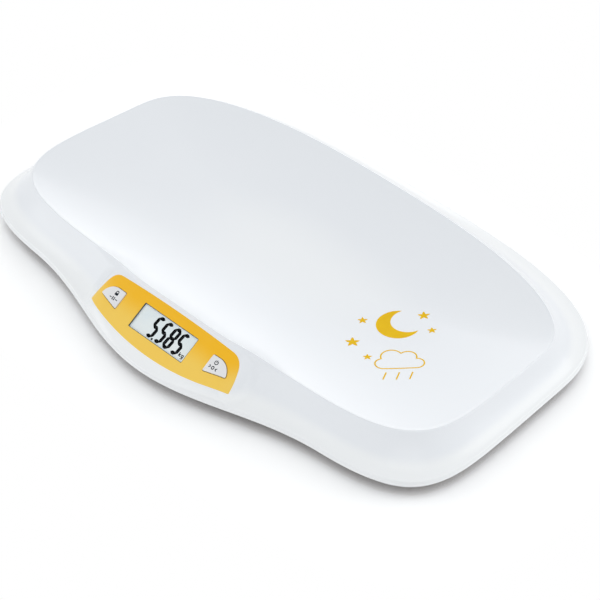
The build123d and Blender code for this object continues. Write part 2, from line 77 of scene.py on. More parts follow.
# %% Camera
AZIMUTH, ELEVATION = math.radians(45.726), math.radians(40.134)
DISTANCE = 2187.251
TARGET = np.array([43.536, -23.5, 30.0])
SENSOR, FOCAL_PIXELS, PICTURE, FARTHEST = 36.0, 2558.972, 600, 50

level = math.cos(ELEVATION)
back = np.array([math.sin(AZIMUTH) * level, -math.cos(AZIMUTH) * level, math.sin(ELEVATION)])
camera_data = bpy.data.cameras.new("camera")
camera_data.sensor_width = SENSOR
camera_data.lens = FOCAL_PIXELS * SENSOR / PICTURE
camera_data.clip_end = FARTHEST
camera = bpy.data.objects.new("camera", camera_data)
camera.location = (TARGET + DISTANCE * back) * MM
camera.rotation_euler = (math.pi / 2 - ELEVATION, 0, AZIMUTH)
bpy.context.scene.collection.objects.link(camera)
bpy.context.scene.camera = camera
print("lens", round(camera_data.lens, 2), "mm, camera at", [round(v, 3) for v in camera.location])

# %% [markdown]
# ## Grids into meshes
#
# Nearly every piece here is a sheet of points in rows and columns. numpy works out all the points
# of a sheet at once, and one function turns any sheet into a mesh. Two ways of closing a sheet
# cover all the pieces: rings that shrink to a point at both ends, like a turned foot, and a plate
# with a top sheet, a bottom sheet and a wall wherever the plate stops.


# %% Mesh helpers
WELD, SLIVER, TINY = 1e-7, 1e-8, 1e-9


def piece(name, points, faces, body, slot=None, replaces=(), sharp=40):
    """A mesh object from points in millimetres and lists of corner numbers, riding on a body."""
    mesh = bpy.data.meshes.new(name)
    corners = np.concatenate([f.ravel() for f in faces]).astype(np.int32)
    sizes = np.concatenate([np.full(len(f), f.shape[1]) for f in faces])
    starts = np.concatenate([[0], np.cumsum(sizes)[:-1]]).astype(np.int32)
    mesh.vertices.add(len(points))
    mesh.vertices.foreach_set("co", (points * MM).ravel())
    mesh.loops.add(len(corners))
    mesh.loops.foreach_set("vertex_index", corners)
    mesh.polygons.add(len(starts))
    mesh.polygons.foreach_set("loop_start", starts)
    mesh.update(calc_edges=True)
    work = bmesh.new()
    work.from_mesh(mesh)
    bmesh.ops.remove_doubles(work, verts=work.verts, dist=WELD)
    bmesh.ops.dissolve_degenerate(work, edges=work.edges, dist=SLIVER)
    work.to_mesh(mesh)
    work.free()
    mesh.polygons.foreach_set("use_smooth", np.ones(len(mesh.polygons), bool))
    mesh.set_sharp_from_angle(angle=math.radians(sharp))
    mesh.update()
    made = bpy.data.objects.new(name, mesh)
    bpy.context.scene.collection.objects.link(made)
    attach(made, body)
    if replaces:
        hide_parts(*replaces)
    if slot:
        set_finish(made, slot)
    print(name, len(mesh.vertices), "points,", len(mesh.polygons), "faces")
    return made


def ring_faces(rows, columns):
    """Four-sided faces between neighbouring rows of a sheet that closes on itself sideways."""
    row, column = np.meshgrid(np.arange(rows - 1), np.arange(columns), indexing="ij")
    after = (column + 1) % columns
    here, over = row * columns, (row + 1) * columns
    return np.stack([here + column, over + column, over + after, here + after], -1).reshape(-1, 4)


def plate_faces(rows, columns, wrap=False, removed=None):
    """Faces of a plate: top sheet, bottom sheet turned over, and a wall along every edge.

    The bottom's points follow the top's in the list. A wall stands wherever a kept face has
    no kept neighbour, so holes in the sheet get walls in the same way as its outer edge.
    """
    wide = columns if wrap else columns - 1
    kept = np.ones((rows - 1, wide), bool) if removed is None else ~removed
    row, column = np.nonzero(kept)
    number = lambda r, c: r * columns + c % columns
    below = rows * columns
    a, b = number(row, column), number(row + 1, column)
    c, d = number(row + 1, column + 1), number(row, column + 1)
    faces = [np.stack([a, b, c, d], -1), np.stack([d, c, b, a], -1) + below]
    framed = np.pad(kept, ((1, 1), (0, 0)))
    before = np.roll(kept, 1, 1) if wrap else np.pad(kept, ((0, 0), (1, 0)))[:, :-1]
    behind = np.roll(kept, -1, 1) if wrap else np.pad(kept, ((0, 0), (0, 1)))[:, 1:]
    for open_side, first, last in (
        (kept & ~framed[:-2], (0, 0), (0, 1)),
        (kept & ~framed[2:], (1, 1), (1, 0)),
        (kept & ~before, (1, 0), (0, 0)),
        (kept & ~behind, (0, 1), (1, 1)),
    ):
        r, k = np.nonzero(open_side)
        start, end = number(r + first[0], k + first[1]), number(r + last[0], k + last[1])
        faces.append(np.stack([start, end, end + below, start + below], -1))
    return [np.concatenate(faces)]


def resample(line, count, closed=True):
    """The same line through count points that lie evenly along it."""
    line = np.vstack([line, line[:1]]) if closed else line
    run = np.concatenate([[0], np.cumsum(np.hypot(*np.diff(line, axis=0).T))])
    places = np.linspace(0, run[-1], count, endpoint=not closed)
    return np.stack([np.interp(places, run, line[:, 0]), np.interp(places, run, line[:, 1])], -1)


def outward(line):
    """Unit vectors square to a closed line that runs anticlockwise, pointing out of it."""
    along = np.roll(line, -1, 0) - np.roll(line, 1, 0)
    along /= np.hypot(along[:, 0], along[:, 1])[:, None]
    return np.stack([along[:, 1], -along[:, 0]], -1)


def arc(first, middle, last, count):
    """Points on the circle arc through three places: equal distance from all of them."""
    (ax, ay), (bx, by), (cx, cy) = first, middle, last
    twice = 2 * (ax * (by - cy) + bx * (cy - ay) + cx * (ay - by))
    a2, b2, c2 = ax**2 + ay**2, bx**2 + by**2, cx**2 + cy**2
    ux = (a2 * (by - cy) + b2 * (cy - ay) + c2 * (ay - by)) / twice
    uy = (a2 * (cx - bx) + b2 * (ax - cx) + c2 * (bx - ax)) / twice
    turns = np.unwrap([math.atan2(y - uy, x - ux) for x, y in (first, middle, last)])
    angle = np.linspace(turns[0], turns[2], count)
    radius = math.hypot(ax - ux, ay - uy)
    return np.stack([ux + radius * np.cos(angle), uy + radius * np.sin(angle)], -1)


def soften(line, corner, reach, count=14):
    """A closed line with one corner rounded: a parabola that leaves it this far either side."""
    line = resample(line, 4000)
    near = np.argmin(np.hypot(*(line - corner).T))
    step = np.hypot(*(line[1] - line[0]))
    span = int(round(reach / step))
    line = np.roll(line, -(near - span), 0)
    first, middle, last = line[0], line[span], line[2 * span]
    t = np.linspace(0, 1, count)[:, None]
    bend = (1 - t) ** 2 * first + 2 * t * (1 - t) * middle + t**2 * last
    return np.vstack([bend, line[2 * span + 1 :]])


def inside(places, line):
    """True where a place lies inside a closed line: a ray from it crosses the line oddly often."""
    x, y = places[..., 0, None], places[..., 1, None]
    (x0, y0), (x1, y1) = line.T, np.roll(line, -1, 0).T
    crosses = (y0 > y) != (y1 > y)
    where = x0 + (y - y0) * (x1 - x0) / np.where(y1 == y0, TINY, y1 - y0)
    return (crosses & (x < where)).sum(-1) % 2 == 1


def smooth_max(a, b, reach):
    """The larger of two heights, with the crease between them rounded over this reach."""
    return np.maximum(a, b) + np.maximum(reach - np.abs(a - b), 0) ** 2 / (4 * reach)


def smooth_min(a, b, reach):
    """The smaller of two heights, with the crease between them rounded over this reach."""
    return -smooth_max(-a, -b, reach)


def smooth_step(t):
    """0 below 0, 1 above 1, and the S-shaped cubic 3t^2 - 2t^3 between them."""
    t = np.clip(t, 0, 1)
    return t * t * (3 - 2 * t)


# %% [markdown]
# ## The tray's lines
#
# The tray is one injection-moulded shell. Its shape is held by two lines seen from above, the edge
# of the skirt and the crest that the baby's dish ends in. Each is a superellipse, a rectangle-like
# oval whose fullness is an exponent, one in front and one behind. It could be drawn as a spline
# through control points, but a formula stays smooth at any density, and the mechanical parts use
# the same one.

# %% Tray lines
LIP_BOTTOM, LIP_TOP, RIM_Z, WALL, RIM_HALF = 15.0, 20.0, 47.0, 2.5, 0.6
DISH_FLOOR, DISH_POWER, DISH_Y = 27.0, 2.6, 11.0
TAPER = 0.00034
# Half length, y of the split, depths and fullnesses in front and behind, swell, its flat, its end.
EDGE = (266.0, 51.0, 186.5, 121.0, 6.0, 3.2, 36.5, 0.0, 180.0)
CREST = (247.5, 51.0, 162.7, 83.0, 5.4, 2.6, 8.5, 40.0, 135.0)
CREST_HUMP, HUMP_FLAT, HUMP_END = 5.6, 68.0, 130.0


def bump(x, flat, end):
    """1 inside flat, then half a cosine wave down to 0 at end."""
    return 0.5 + 0.5 * np.cos(np.pi * np.clip((np.abs(x) - flat) / (end - flat), 0, 1))


def plan_line(angle, shape):
    """Points of a tapered superellipse |x|^p + |y|^p = 1 whose front swells by a raised cosine."""
    half, split, front, rear, front_power, rear_power, swell, flat, end = shape
    c, s = np.cos(angle), np.sin(angle)
    power, depth = np.where(s < 0, front_power, rear_power), np.where(s < 0, front, rear)
    reach = (np.abs(c) ** power + np.abs(s) ** power) ** (-1 / power)
    rise = depth * reach * s
    x = half * (1 - TAPER * rise) * reach * c
    y = split + rise - np.where(s < 0, swell * bump(x, flat, end), 0)
    return np.stack([x, y], -1)


def dish_line(angle, share):
    """The dish's level line at a share of the way out: the crest shrunk, and rounder inside."""
    half, split, front, rear, front_power, rear_power, swell, flat, end = CREST
    rounder = share**2
    shape = (
        half * share,
        DISH_Y + (split - DISH_Y) * share,
        front * share,
        rear * share,
        2 + (front_power - 2) * rounder,
        2 + (rear_power - 2) * rounder,
        swell * rounder * share,
        flat,
        end,
    )
    return plan_line(angle, shape)


FINE_STEP, WIDE_STEP, FINE_HALF, FINE_FADE, MEASURED = 1.65, 4.6, 112, 40, 20001
fine_angle = np.linspace(0, 2 * np.pi, MEASURED)
edge_line = plan_line(fine_angle, EDGE)
middle = (edge_line[1:] + edge_line[:-1]) / 2
fading = smooth_step((np.abs(middle[:, 0]) - FINE_HALF) / FINE_FADE)
near_console = (middle[:, 1] < 0) * (1 - fading)
spacing = WIDE_STEP + (FINE_STEP - WIDE_STEP) * near_console
progress = np.concatenate([[0], np.cumsum(np.hypot(*np.diff(edge_line, axis=0).T) / spacing)])
COLUMNS = int(round(progress[-1]))
angles = np.interp(np.arange(COLUMNS) * progress[-1] / COLUMNS, progress, fine_angle)
print("columns round the tray", COLUMNS)

# %% [markdown]
# ## The console's own plane
#
# The console is a flat slope that ends in a round shoulder on each side. Its parts are easiest to
# place on a plane of its own: u runs along the console, v up its slope, and height stands out of
# it. One function wraps such places over the shoulders and puts them into the tray's space.

# %% Console plane
TILT = math.radians(32.5)
CONSOLE_Y, CONSOLE_Z = -141.15, 37.5
CONSOLE_FLAT, SHOULDER_R, PAST_SLOPE = 68.0, 30.0, 4


def shoulder_drop(u):
    """How far the console's surface has sunk at u: a quarter circle past its flat middle."""
    past = np.clip(np.abs(u) - CONSOLE_FLAT, 0, SHOULDER_R)
    return SHOULDER_R - np.sqrt(SHOULDER_R**2 - past**2)


def on_console(place, height):
    """Places (u, v) and their heights as points: along the surface, then out along its normal."""
    u, v = place[..., 0], place[..., 1]
    lean = np.sign(u) * np.clip(np.abs(u) - CONSOLE_FLAT, 0, SHOULDER_R) / SHOULDER_R
    x = u + height * lean
    out = -shoulder_drop(u) + height * np.sqrt(1 - lean**2)
    y = CONSOLE_Y + v * math.cos(TILT) - out * math.sin(TILT)
    z = CONSOLE_Z + v * math.sin(TILT) + out * math.cos(TILT)
    return np.stack([x, y, z], -1)


def console_height(x, y):
    """Height of the console's surface over a place of the plan, far below it past the shoulders."""
    slope = CONSOLE_Z + (y - CONSOLE_Y) * math.tan(TILT)
    past = np.maximum(np.abs(x) - CONSOLE_FLAT - SHOULDER_R, 0)
    return slope - shoulder_drop(x) / math.cos(TILT) - PAST_SLOPE * past


def mirrored(place):
    """The same place on the console's other side."""
    return (-place[0], place[1])


PANEL_LIFT, PANEL_TOP, PANEL_BOTTOM = 0.15, (0, 21.6), (0, -24.4)
PANEL_TIP, PANEL_SIDE, PANEL_CORNER = (85.8, -10.7), (83.4, 3.5), (77.5, 19.6)
CORNER_REACH, TIP_REACH, SHIELD_REACH = 9.0, 0.6, 1.1
panel_line = np.vstack(
    [
        arc(PANEL_TIP, PANEL_SIDE, PANEL_CORNER, 60)[:-1],
        arc(PANEL_CORNER, PANEL_TOP, mirrored(PANEL_CORNER), 200)[:-1],
        arc(mirrored(PANEL_CORNER), mirrored(PANEL_SIDE), mirrored(PANEL_TIP), 60)[:-1],
        arc(mirrored(PANEL_TIP), PANEL_BOTTOM, PANEL_TIP, 200)[:-1],
    ]
)
for place in (PANEL_CORNER, mirrored(PANEL_CORNER)):
    panel_line = soften(panel_line, place, CORNER_REACH)
for place in (PANEL_TIP, mirrored(PANEL_TIP)):
    panel_line = soften(panel_line, place, TIP_REACH, 5)

SHIELD, SHIELD_SIDE = [(63.0, 9.4), (54.7, 9.3), (54.7, -7.1), (76.8, -1.7)], (71.0, 7.0)
shield = np.vstack([SHIELD, arc(SHIELD[3], SHIELD_SIDE, SHIELD[0], 60)[1:-1]])
for place in SHIELD[1:]:
    shield = soften(shield, place, SHIELD_REACH, 8)
shield = resample(shield, 160)
shields = {"tare": shield, "hold": (shield * (-1, 1))[::-1]}
WINDOW_U, WINDOW_V = 66.4, 24.7
print("panel outline", len(panel_line), "points")

# %% [markdown]
# ## The tray shell
#
# The tray's top is a height over the plan. Going out along one column: the dish climbs slowly and
# then quickly, a narrow rim rolls over, the skirt falls away and flattens, and a thin lip turns
# down. The console's slope and the ridge behind it join the skirt with a smooth maximum, which is
# what a moulder's fillet does. Sculpting could give this too, but here each radius is a number.
# The bottom sheet is the top one moved inwards by the wall, and holes go through both.

# %% Tray shell
RIM_SLOPE, RIM_ROUND, CREST_ROUND, DISH_ROUND = 2.8, 1.4, 0.9, 0.5
LIP_SINK, SINK_FLAT, SINK_END = 2.4, 25, 115
FLARE_STEEP, FLARE_FLAT = 0.85, 0.15
HOLLOW, HOLLOW_FLAT, HOLLOW_END, HOLLOW_IN, HOLLOW_OUT = 9, 62, 100, 14, 7
BLEND, BLEND_MORE, BLEND_FROM, BLEND_OVER = 6.0, 10.0, 86, 14
ROLL_CURVE, ROLL_SLOPE, ROLL_ROUND = 3.2, 0.8, 3.5
LIP_ROUND, LIP_INSET, END_RUN, END_STEP, LEAST_DROP = 1.6, 0.8, 2.0, 0.4, 0.1
DISH_ROWS, CROWDING, NARROWING, RISING, LEAST_SHARE = 42, 1.25, 8, 7, 1e-6
SKIRT_ROWS, TURN_ROWS, LEAN_OVER, EARLY = 43, 6, 6, 3
OPENING_U, OPENING_V, OPENING_GAP, SLOPE_END = 35.4, 14.6, 1.4, -120

crest = plan_line(angles, CREST)
edge = plan_line(angles, EDGE)
crest_out = outward(crest)
rise = CREST_HUMP * bump(crest[:, 0], HUMP_FLAT, HUMP_END) * (crest[:, 1] < 0)
rim_top = RIM_Z + rise
skirt_start = crest + RIM_HALF * crest_out
skirt_run = edge - skirt_start
skirt_length = np.hypot(skirt_run[:, 0], skirt_run[:, 1])
skirt_way = skirt_run / skirt_length[:, None]
front = edge[:, 1] < 0
lip_top = LIP_TOP - LIP_SINK * bump(edge[:, 0], SINK_FLAT, SINK_END) * front


def skirt_height(distance):
    """Height of the skirt this far out from the crest, for every column of the tray.

    A steep and a flat part, r^2 and r of the way left, make the flare. The console's slope, the
    ridge behind it and the rolled edge are joined to it with smooth maxima and minima.
    """
    place = skirt_start + distance[..., None] * skirt_way
    x, y = place[..., 0], place[..., 1]
    rest = 1 - distance / skirt_length
    flare = lip_top + (RIM_Z - LIP_TOP) * (FLARE_STEEP * rest * np.abs(rest) + FLARE_FLAT * rest)
    left = np.maximum(skirt_length - distance, 0)
    hollow = HOLLOW * front * bump(x, HOLLOW_FLAT, HOLLOW_END) * smooth_step(distance / HOLLOW_IN)
    flare = flare - hollow * smooth_step(left / HOLLOW_OUT)
    blend = BLEND + BLEND_MORE * smooth_step((np.abs(x) - BLEND_FROM) / BLEND_OVER)
    surface = np.where(front, smooth_max(flare, console_height(x, y), blend), flare)
    surface = smooth_max(surface, rim_top - RIM_SLOPE * distance, CREST_ROUND)
    rolled = lip_top + ROLL_CURVE * np.sqrt(left) + ROLL_SLOPE * left
    return smooth_min(smooth_min(surface, rolled, ROLL_ROUND), rim_top, RIM_ROUND)


# Dish rows: dense towards the rim, where the surface bends most.
steps = np.linspace(0, 1, DISH_ROWS)[:, None]
share = 1 - (1 - steps) ** CROWDING
dish_plan = dish_line(angles[None, :], np.maximum(share, LEAST_SHARE))
dish_plan -= RIM_HALF * share[..., None] ** NARROWING * crest_out
dish_z = DISH_FLOOR + (RIM_Z - DISH_FLOOR) * share**DISH_POWER + rise * share**RISING
dish_z = smooth_min(dish_z, rim_top, DISH_ROUND)
dish_sheet = np.concatenate([dish_plan, dish_z[..., None]], -1)

# Rim rows: across the crest, rounded on the skirt's side.
across = np.array([-0.4, -0.15, 0.1, 0.3, 0.45])[:, None]
rim_plan = crest + across[..., None] * crest_out
rim_z = smooth_min(rim_top, rim_top + RIM_SLOPE * (RIM_HALF - across), RIM_ROUND)
rim_sheet = np.concatenate([rim_plan, rim_z[..., None]], -1)

# Skirt rows: close together near the crest, then in even shares out to the lip's rounding.
slope_run = skirt_length - END_RUN
sink = np.arctan((skirt_height(slope_run - END_STEP) - skirt_height(slope_run)) / END_STEP)
round_start = skirt_length - LIP_INSET - LIP_ROUND * (1 - np.sin(sink))
near = np.array([0, 0.15, 0.3, 0.45, 0.6, 0.8, 1.0, 1.2, 1.5, 2.0, 2.8, 3.8])[:, None]
out_steps = np.linspace(0, 1, SKIRT_ROWS)[1:, None]
evenly = near[-1] + out_steps * (round_start - near[-1])
distance = np.vstack([np.repeat(near, COLUMNS, 1), evenly])
skirt_sheet = np.concatenate(
    [skirt_start + distance[..., None] * skirt_way, skirt_height(distance)[..., None]], -1
)

# Lip rows: a quarter round, a short wall, and a fine bead along its lower edge.
turn = np.linspace(0, 1, TURN_ROWS)[1:, None] * (np.pi / 2 - sink) + sink
hub = round_start - LIP_ROUND * np.sin(sink)
hub_z = skirt_sheet[-1, :, 2] - LIP_ROUND * np.cos(sink)
lip_run = hub + LIP_ROUND * np.sin(turn)
lip_z = hub_z + LIP_ROUND * np.cos(turn)
bead = np.array([(0.85, 1.45), (0.55, 1.25), (0.15, 1.05), (0.0, 0.7), (0.06, 0.25), (0.4, 0.0)])
lip_run = np.vstack([lip_run, skirt_length - bead[:, :1]])
lip_z = np.vstack([lip_z, np.minimum(LIP_BOTTOM + bead[:, 1:], hub_z - LEAST_DROP)])
lip_sheet = np.concatenate([skirt_start + lip_run[..., None] * skirt_way, lip_z[..., None]], -1)

top = np.concatenate([dish_sheet, rim_sheet, skirt_sheet, lip_sheet])
along = np.roll(top, -1, 1) - np.roll(top, 1, 1)
down = np.gradient(top, axis=0)
normal = np.cross(down, along)
normal /= np.maximum(np.linalg.norm(normal, axis=-1), TINY)[..., None]
first_skirt = len(dish_sheet) + len(rim_sheet)
first_lip = first_skirt + len(skirt_sheet)
lean = np.zeros(top.shape[:2])
lean[first_skirt:first_lip] = smooth_step(distance / LEAN_OVER)
straight = np.array([0.0, 0.0, 1.0])
way_in = straight + lean[..., None] * (normal - straight)
way_in /= np.linalg.norm(way_in, axis=-1)[..., None]
under = top - WALL * way_in
sinking = np.linspace(0, 1, len(lip_sheet) + 1)[1:, None]
under_z = under[first_lip - 1, :, 2] + sinking * (LIP_BOTTOM - under[first_lip - 1, :, 2])
lip_under = skirt_start + (skirt_length - WALL)[:, None] * skirt_way
early = (1 - smooth_step(sinking * EARLY))[..., None] * (under[first_lip - 1, :, :2] - lip_under)
under[first_lip:] = np.concatenate([lip_under + early, under_z[..., None]], -1)

# Openings behind the display and the buttons, a little wider than the panel's own.
centre = (top[:-1] + top[1:]) / 2
centre = (centre + np.roll(centre, -1, 1)) / 2
face_v = (centre[..., 1] - CONSOLE_Y) * math.cos(TILT) + (centre[..., 2] - CONSOLE_Z) * math.sin(TILT)
face_place = np.stack([centre[..., 0], face_v], -1)
on_slope = (centre[..., 1] < SLOPE_END) & (np.arange(len(centre)) >= first_skirt)[:, None]
removed = on_slope & (np.abs(face_place[..., 0]) < OPENING_U) & (np.abs(face_v) < OPENING_V)
for line in shields.values():
    removed |= on_slope & inside(face_place, line + OPENING_GAP * outward(line))
piece(
    "tray_shell_moulding",
    np.concatenate([top.reshape(-1, 3), under.reshape(-1, 3)]),
    plate_faces(len(top), COLUMNS, True, removed),
    "housing",
    "white_shell",
    ["tray_shell"],
    75,
)

# %% [markdown]
# ## A flat piece with holes
#
# The orange overlay has one outline and three holes, so it doesn't fit a grid. A constrained
# triangulation is the tool for that: it takes the lines that must be kept, adds points in between,
# and gives triangles. The edge profile is then walked down in rows, which rounds the edges.


# %% Overlay builder
FILL_CLEAR, SAME_PLACE = 1.6, 1e-7


def raised(places, height):
    """Flat places (u, v) with one height for all of them."""
    return np.column_stack([places, np.full(len(places), height)])


def overlay(lines, profile, spacing):
    """Points (u, v, height) and faces of a plate inside lines[0] and outside the other lines.

    profile is rows of (inset, height) from the underside's rim over the edge to the top's rim.
    """
    outer, holes = lines[0], lines[1:]
    signs = [1] + [-1] * len(holes)
    moved_in = lambda inset: [line - inset * sign * outward(line) for line, sign in zip(lines, signs)]
    rims = moved_in(profile[-1][0])
    low, high = outer.min(0), outer.max(0)
    u, v = np.meshgrid(np.arange(low[0], high[0], spacing), np.arange(low[1], high[1], spacing))
    fill = np.stack([u.ravel() + 0.5 * spacing * (np.indices(u.shape)[0].ravel() % 2), v.ravel()], -1)
    keep = inside(fill, outer - FILL_CLEAR * outward(outer))
    for hole in holes:
        keep &= ~inside(fill, hole + FILL_CLEAR * outward(hole))
    fill = fill[keep]
    counts = np.cumsum([0] + [len(rim) for rim in rims])
    loops = [list(range(a, b)) for a, b in zip(counts[:-1], counts[1:])]
    flat = np.vstack([*rims, fill])
    edges = [(a, b) for loop in loops for a, b in zip(loop, loop[1:] + loop[:1])]
    places = list(map(Vector, flat))
    points, _, triangles, origin, _, _ = delaunay_2d_cdt(places, edges, [], 0, SAME_PLACE)
    assert len(points) == len(flat), "the outlines cross"
    triangles = np.array([given[0] for given in origin])[np.array(triangles)]
    middles = flat[triangles].mean(1)
    keep = inside(middles, rims[0])
    for rim in rims[1:]:
        keep &= ~inside(middles, rim)
    triangles = triangles[keep]
    a, b, c = (flat[triangles[:, k]] for k in range(3))
    turned = (b - a)[:, 0] * (c - a)[:, 1] - (b - a)[:, 1] * (c - a)[:, 0] < 0
    triangles[turned] = triangles[turned][:, ::-1]
    total = counts[-1]
    rows = [raised(np.vstack(moved_in(inset)), height) for inset, height in profile]
    points = np.vstack([*rows, raised(fill, profile[-1][1])])
    top_faces = triangles + (len(rows) - 1) * total
    under_faces = np.where(triangles < total, triangles, triangles - total + len(points))[:, ::-1]
    points = np.vstack([points, raised(fill, profile[0][1])])
    walls = []
    for (a, b), sign in zip(zip(counts[:-1], counts[1:]), signs):
        for row in range(len(rows) - 1):
            here = np.arange(a, b) + row * total
            after = np.roll(here, -1)
            quad = np.stack([here, after, after + total, here + total], -1)
            walls.append(quad if sign > 0 else quad[:, ::-1])
    return points, [top_faces, under_faces, np.concatenate(walls)]


def rounded_box(half_u, half_v, radius, count):
    """An upright rectangle with round corners, anticlockwise."""
    angle = np.linspace(0, 2 * np.pi, 4 * 12, endpoint=False) + np.pi / 48
    way = np.stack([np.cos(angle), np.sin(angle)], -1)
    return resample(np.sign(way) * (np.array([half_u, half_v]) - radius) + radius * way, count)


def console_piece(name, lines, profile, spacing, slot=None, replaces=(), sharp=40):
    """Such a plate as a piece, laid on the console's surface."""
    points, faces = overlay(lines, profile, spacing)
    surface = on_console(points[:, :2], points[:, 2])
    return piece(name, surface, faces, "housing", slot, replaces, sharp)


# %% [markdown]
# ## Overlay, window and display
#
# The overlay is a thin orange moulding let into the console, with crisp edges that are still
# rounded by a quarter of a millimetre, because a real edge always catches a line of light. Behind
# its window sit a clear lens and the pale display glass, each with its own bevels. A thin dark ring
# round the window's edge is painted shade, standing in for the shadow inside the window's recess.

# %% Overlay and window
PANEL_UNDER, PANEL_INSET, EDGE_ROUND, BUTTON_GAP = -1.0, 0.7, 0.25, 0.5
# The first two set a dark ring round the window, painted shade for the shadow in its recess.
SHADE_RING_GAP, SHADE_RING_WIDE, FINE_FILL, WIDE_FILL = 0.03, 0.4, 2.6, 4.0
# Profiles are rows of (inset, height), as the builder takes them.
SHADE_RING_PROFILE = [(0.0, -1.25), (0.0, -0.12)]
LENS_PROFILE = [(0.3, -1.15), (0, -1.15), (0, -0.55), (0.1, -0.45), (0.4, -0.45)]
CELL_PROFILE = [(0.3, -4.05), (0, -3.9), (0, -1.5), (0.2, -1.3), (0.5, -1.3)]
rounding = [
    (EDGE_ROUND * (1 - math.cos(t)), PANEL_LIFT - EDGE_ROUND * (1 - math.sin(t)))
    for t in np.linspace(0, np.pi / 2, 4)
]
panel_profile = [(PANEL_INSET, PANEL_UNDER), (0.0, PANEL_UNDER), *rounding, (PANEL_INSET, PANEL_LIFT)]
half_window = np.array([WINDOW_U, WINDOW_V]) / 2
panel_lines = [resample(panel_line, 420), rounded_box(*half_window, 0.5, 240)]
panel_lines += [resample(line + BUTTON_GAP * outward(line), 150) for line in shields.values()]
console_piece(
    "console_overlay", panel_lines, panel_profile, FINE_FILL, "orange_panel", ["console_panel"], 30
)
# A dark ring round the window's edge: painted shade, standing in for the shadow inside the window's
# recess.
shade_ring_lines = [rounded_box(*(half_window - inset), 0.4, 240) for inset in (SHADE_RING_GAP, SHADE_RING_WIDE)]
shade_ring = console_piece("window_gasket", shade_ring_lines, SHADE_RING_PROFILE, WIDE_FILL)
lens_line = rounded_box(*(half_window - SHADE_RING_WIDE - SHADE_RING_GAP), 0.4, 120)
console_piece("display_lens", [lens_line], LENS_PROFILE, WIDE_FILL, "clear_window", ["display_window"])
cell_line = rounded_box(34.8, 13.8, 0.6, 120)
console_piece("display_cell", [cell_line], CELL_PROFILE, WIDE_FILL, "display_glass", ["display_glass"])

# %% [markdown]
# ## The digits
#
# A liquid crystal display shows a number with seven bars a digit. Each bar is a thin stick with
# pointed ends, so neighbours meet on the slant with a hair of light between them. A font would be
# quicker, but the bars are what the real glass has. The reading is just a plausible weight.


# %% Digits
INK_THICK, DIGIT_LIFT, BAR_TIP, STROKE_PLACES = 0.05, -1.27, 0.7, 12


def evenly_along(places, count):
    """Evenly spaced places along an open line through a few."""
    return resample(np.array(places, float), count, closed=False)


def plate(sheet, surface, lift, wrap=False):
    """A thin closed plate over a sheet of places, its top this far above the surface."""
    heights = np.zeros(sheet.shape[:2])
    top, low = surface(sheet, heights + lift), surface(sheet, heights + lift - INK_THICK)
    faces = plate_faces(*sheet.shape[:2], wrap)
    return np.concatenate([top.reshape(-1, 3), low.reshape(-1, 3)]), faces


def ribbon(path, width, surface, lift):
    """A flat band along a path of (u, v) places: half its width to each side, on a surface."""
    along = np.gradient(path, axis=0)
    along /= np.maximum(np.hypot(along[:, 0], along[:, 1]), TINY)[:, None]
    side = np.stack([-along[:, 1], along[:, 0]], -1) * (np.broadcast_to(width, len(path)) / 2)[:, None]
    return plate(np.stack([path + side, path, path - side]), surface, lift)


def join(parts):
    """Several (points, faces) as one, with the corner numbers moved along."""
    starts = np.cumsum([0] + [len(points) for points, _ in parts[:-1]])
    faces = [f + start for (_, some), start in zip(parts, starts) for f in some]
    return np.vstack([points for points, _ in parts]), faces


BAR, GAP, DIGIT_WIDE, DIGIT_HIGH, SLANT = 3.2, 0.1, 8.8, 21.4, 0.085
FIRST_LEFT, DIGIT_PITCH, DIGIT_LOW = -15.4, 10.1, -10.7
right_u, top_v, half_v = DIGIT_WIDE - BAR, DIGIT_HIGH - BAR, (DIGIT_HIGH - BAR) / 2
BARS = {
    "top": ((0, top_v), (right_u, top_v)),
    "upper left": ((0, half_v), (0, top_v)),
    "upper right": ((right_u, half_v), (right_u, top_v)),
    "middle": ((0, half_v), (right_u, half_v)),
    "lower left": ((0, 0), (0, half_v)),
    "lower right": ((right_u, 0), (right_u, half_v)),
    "bottom": ((0, 0), (right_u, 0)),
}
FIVE = ("top", "upper left", "middle", "lower right", "bottom")


def bar(start, end, left):
    """One pointed bar, slanted by moving each place sideways by a share of its height."""
    start, end = np.array(start, float), np.array(end, float)
    way = (end - start) / np.hypot(*(end - start))
    length = np.hypot(*(end - start)) - 2 * GAP
    run = np.array([0, BAR / 2, length - BAR / 2, length])
    path = start + way * (run + GAP)[:, None] + np.array([left + BAR / 2, DIGIT_LOW + BAR / 2])
    path[:, 0] += SLANT * (path[:, 1] - DIGIT_LOW)
    return ribbon(path, np.array([BAR_TIP, BAR, BAR, BAR_TIP]), on_console, DIGIT_LIFT)


digit_parts = []
for place, names in enumerate((FIVE, FIVE, tuple(BARS), FIVE)):
    digit_parts += [bar(*BARS[name], FIRST_LEFT + place * DIGIT_PITCH) for name in names]
POINT_BACK, POINT_LOW, POINT_HIGH, POINT_WIDE = 0.8, 0.2, 1.6, 1.8
point_u = FIRST_LEFT + DIGIT_PITCH - POINT_BACK
dot = np.array([(point_u, DIGIT_LOW - POINT_LOW), (point_u, DIGIT_LOW + POINT_HIGH)])
digit_parts.append(ribbon(dot, POINT_WIDE, on_console, DIGIT_LIFT))
# The unit beside them, small and drawn with thin strokes: k, then g.
UNIT_U, UNIT_V, UNIT_LINE = 25.6, -8.6, 0.8
unit_strokes = [
    [(0, 0), (0, 3.4)],
    [(1.8, 2.4), (0.2, 1.2), (1.9, 0)],
    [(4.7, 2.2), (3.0, 2.2), (3.0, 0.3), (4.7, 0.3)],
    [(4.7, 2.4), (4.7, -1.1), (3.0, -1.1)],
]
for stroke in unit_strokes:
    path = evenly_along(stroke, STROKE_PLACES) + np.array([UNIT_U, UNIT_V])
    digit_parts.append(ribbon(path, UNIT_LINE, on_console, DIGIT_LIFT))
digits = piece("display_digits", *join(digit_parts), "housing")

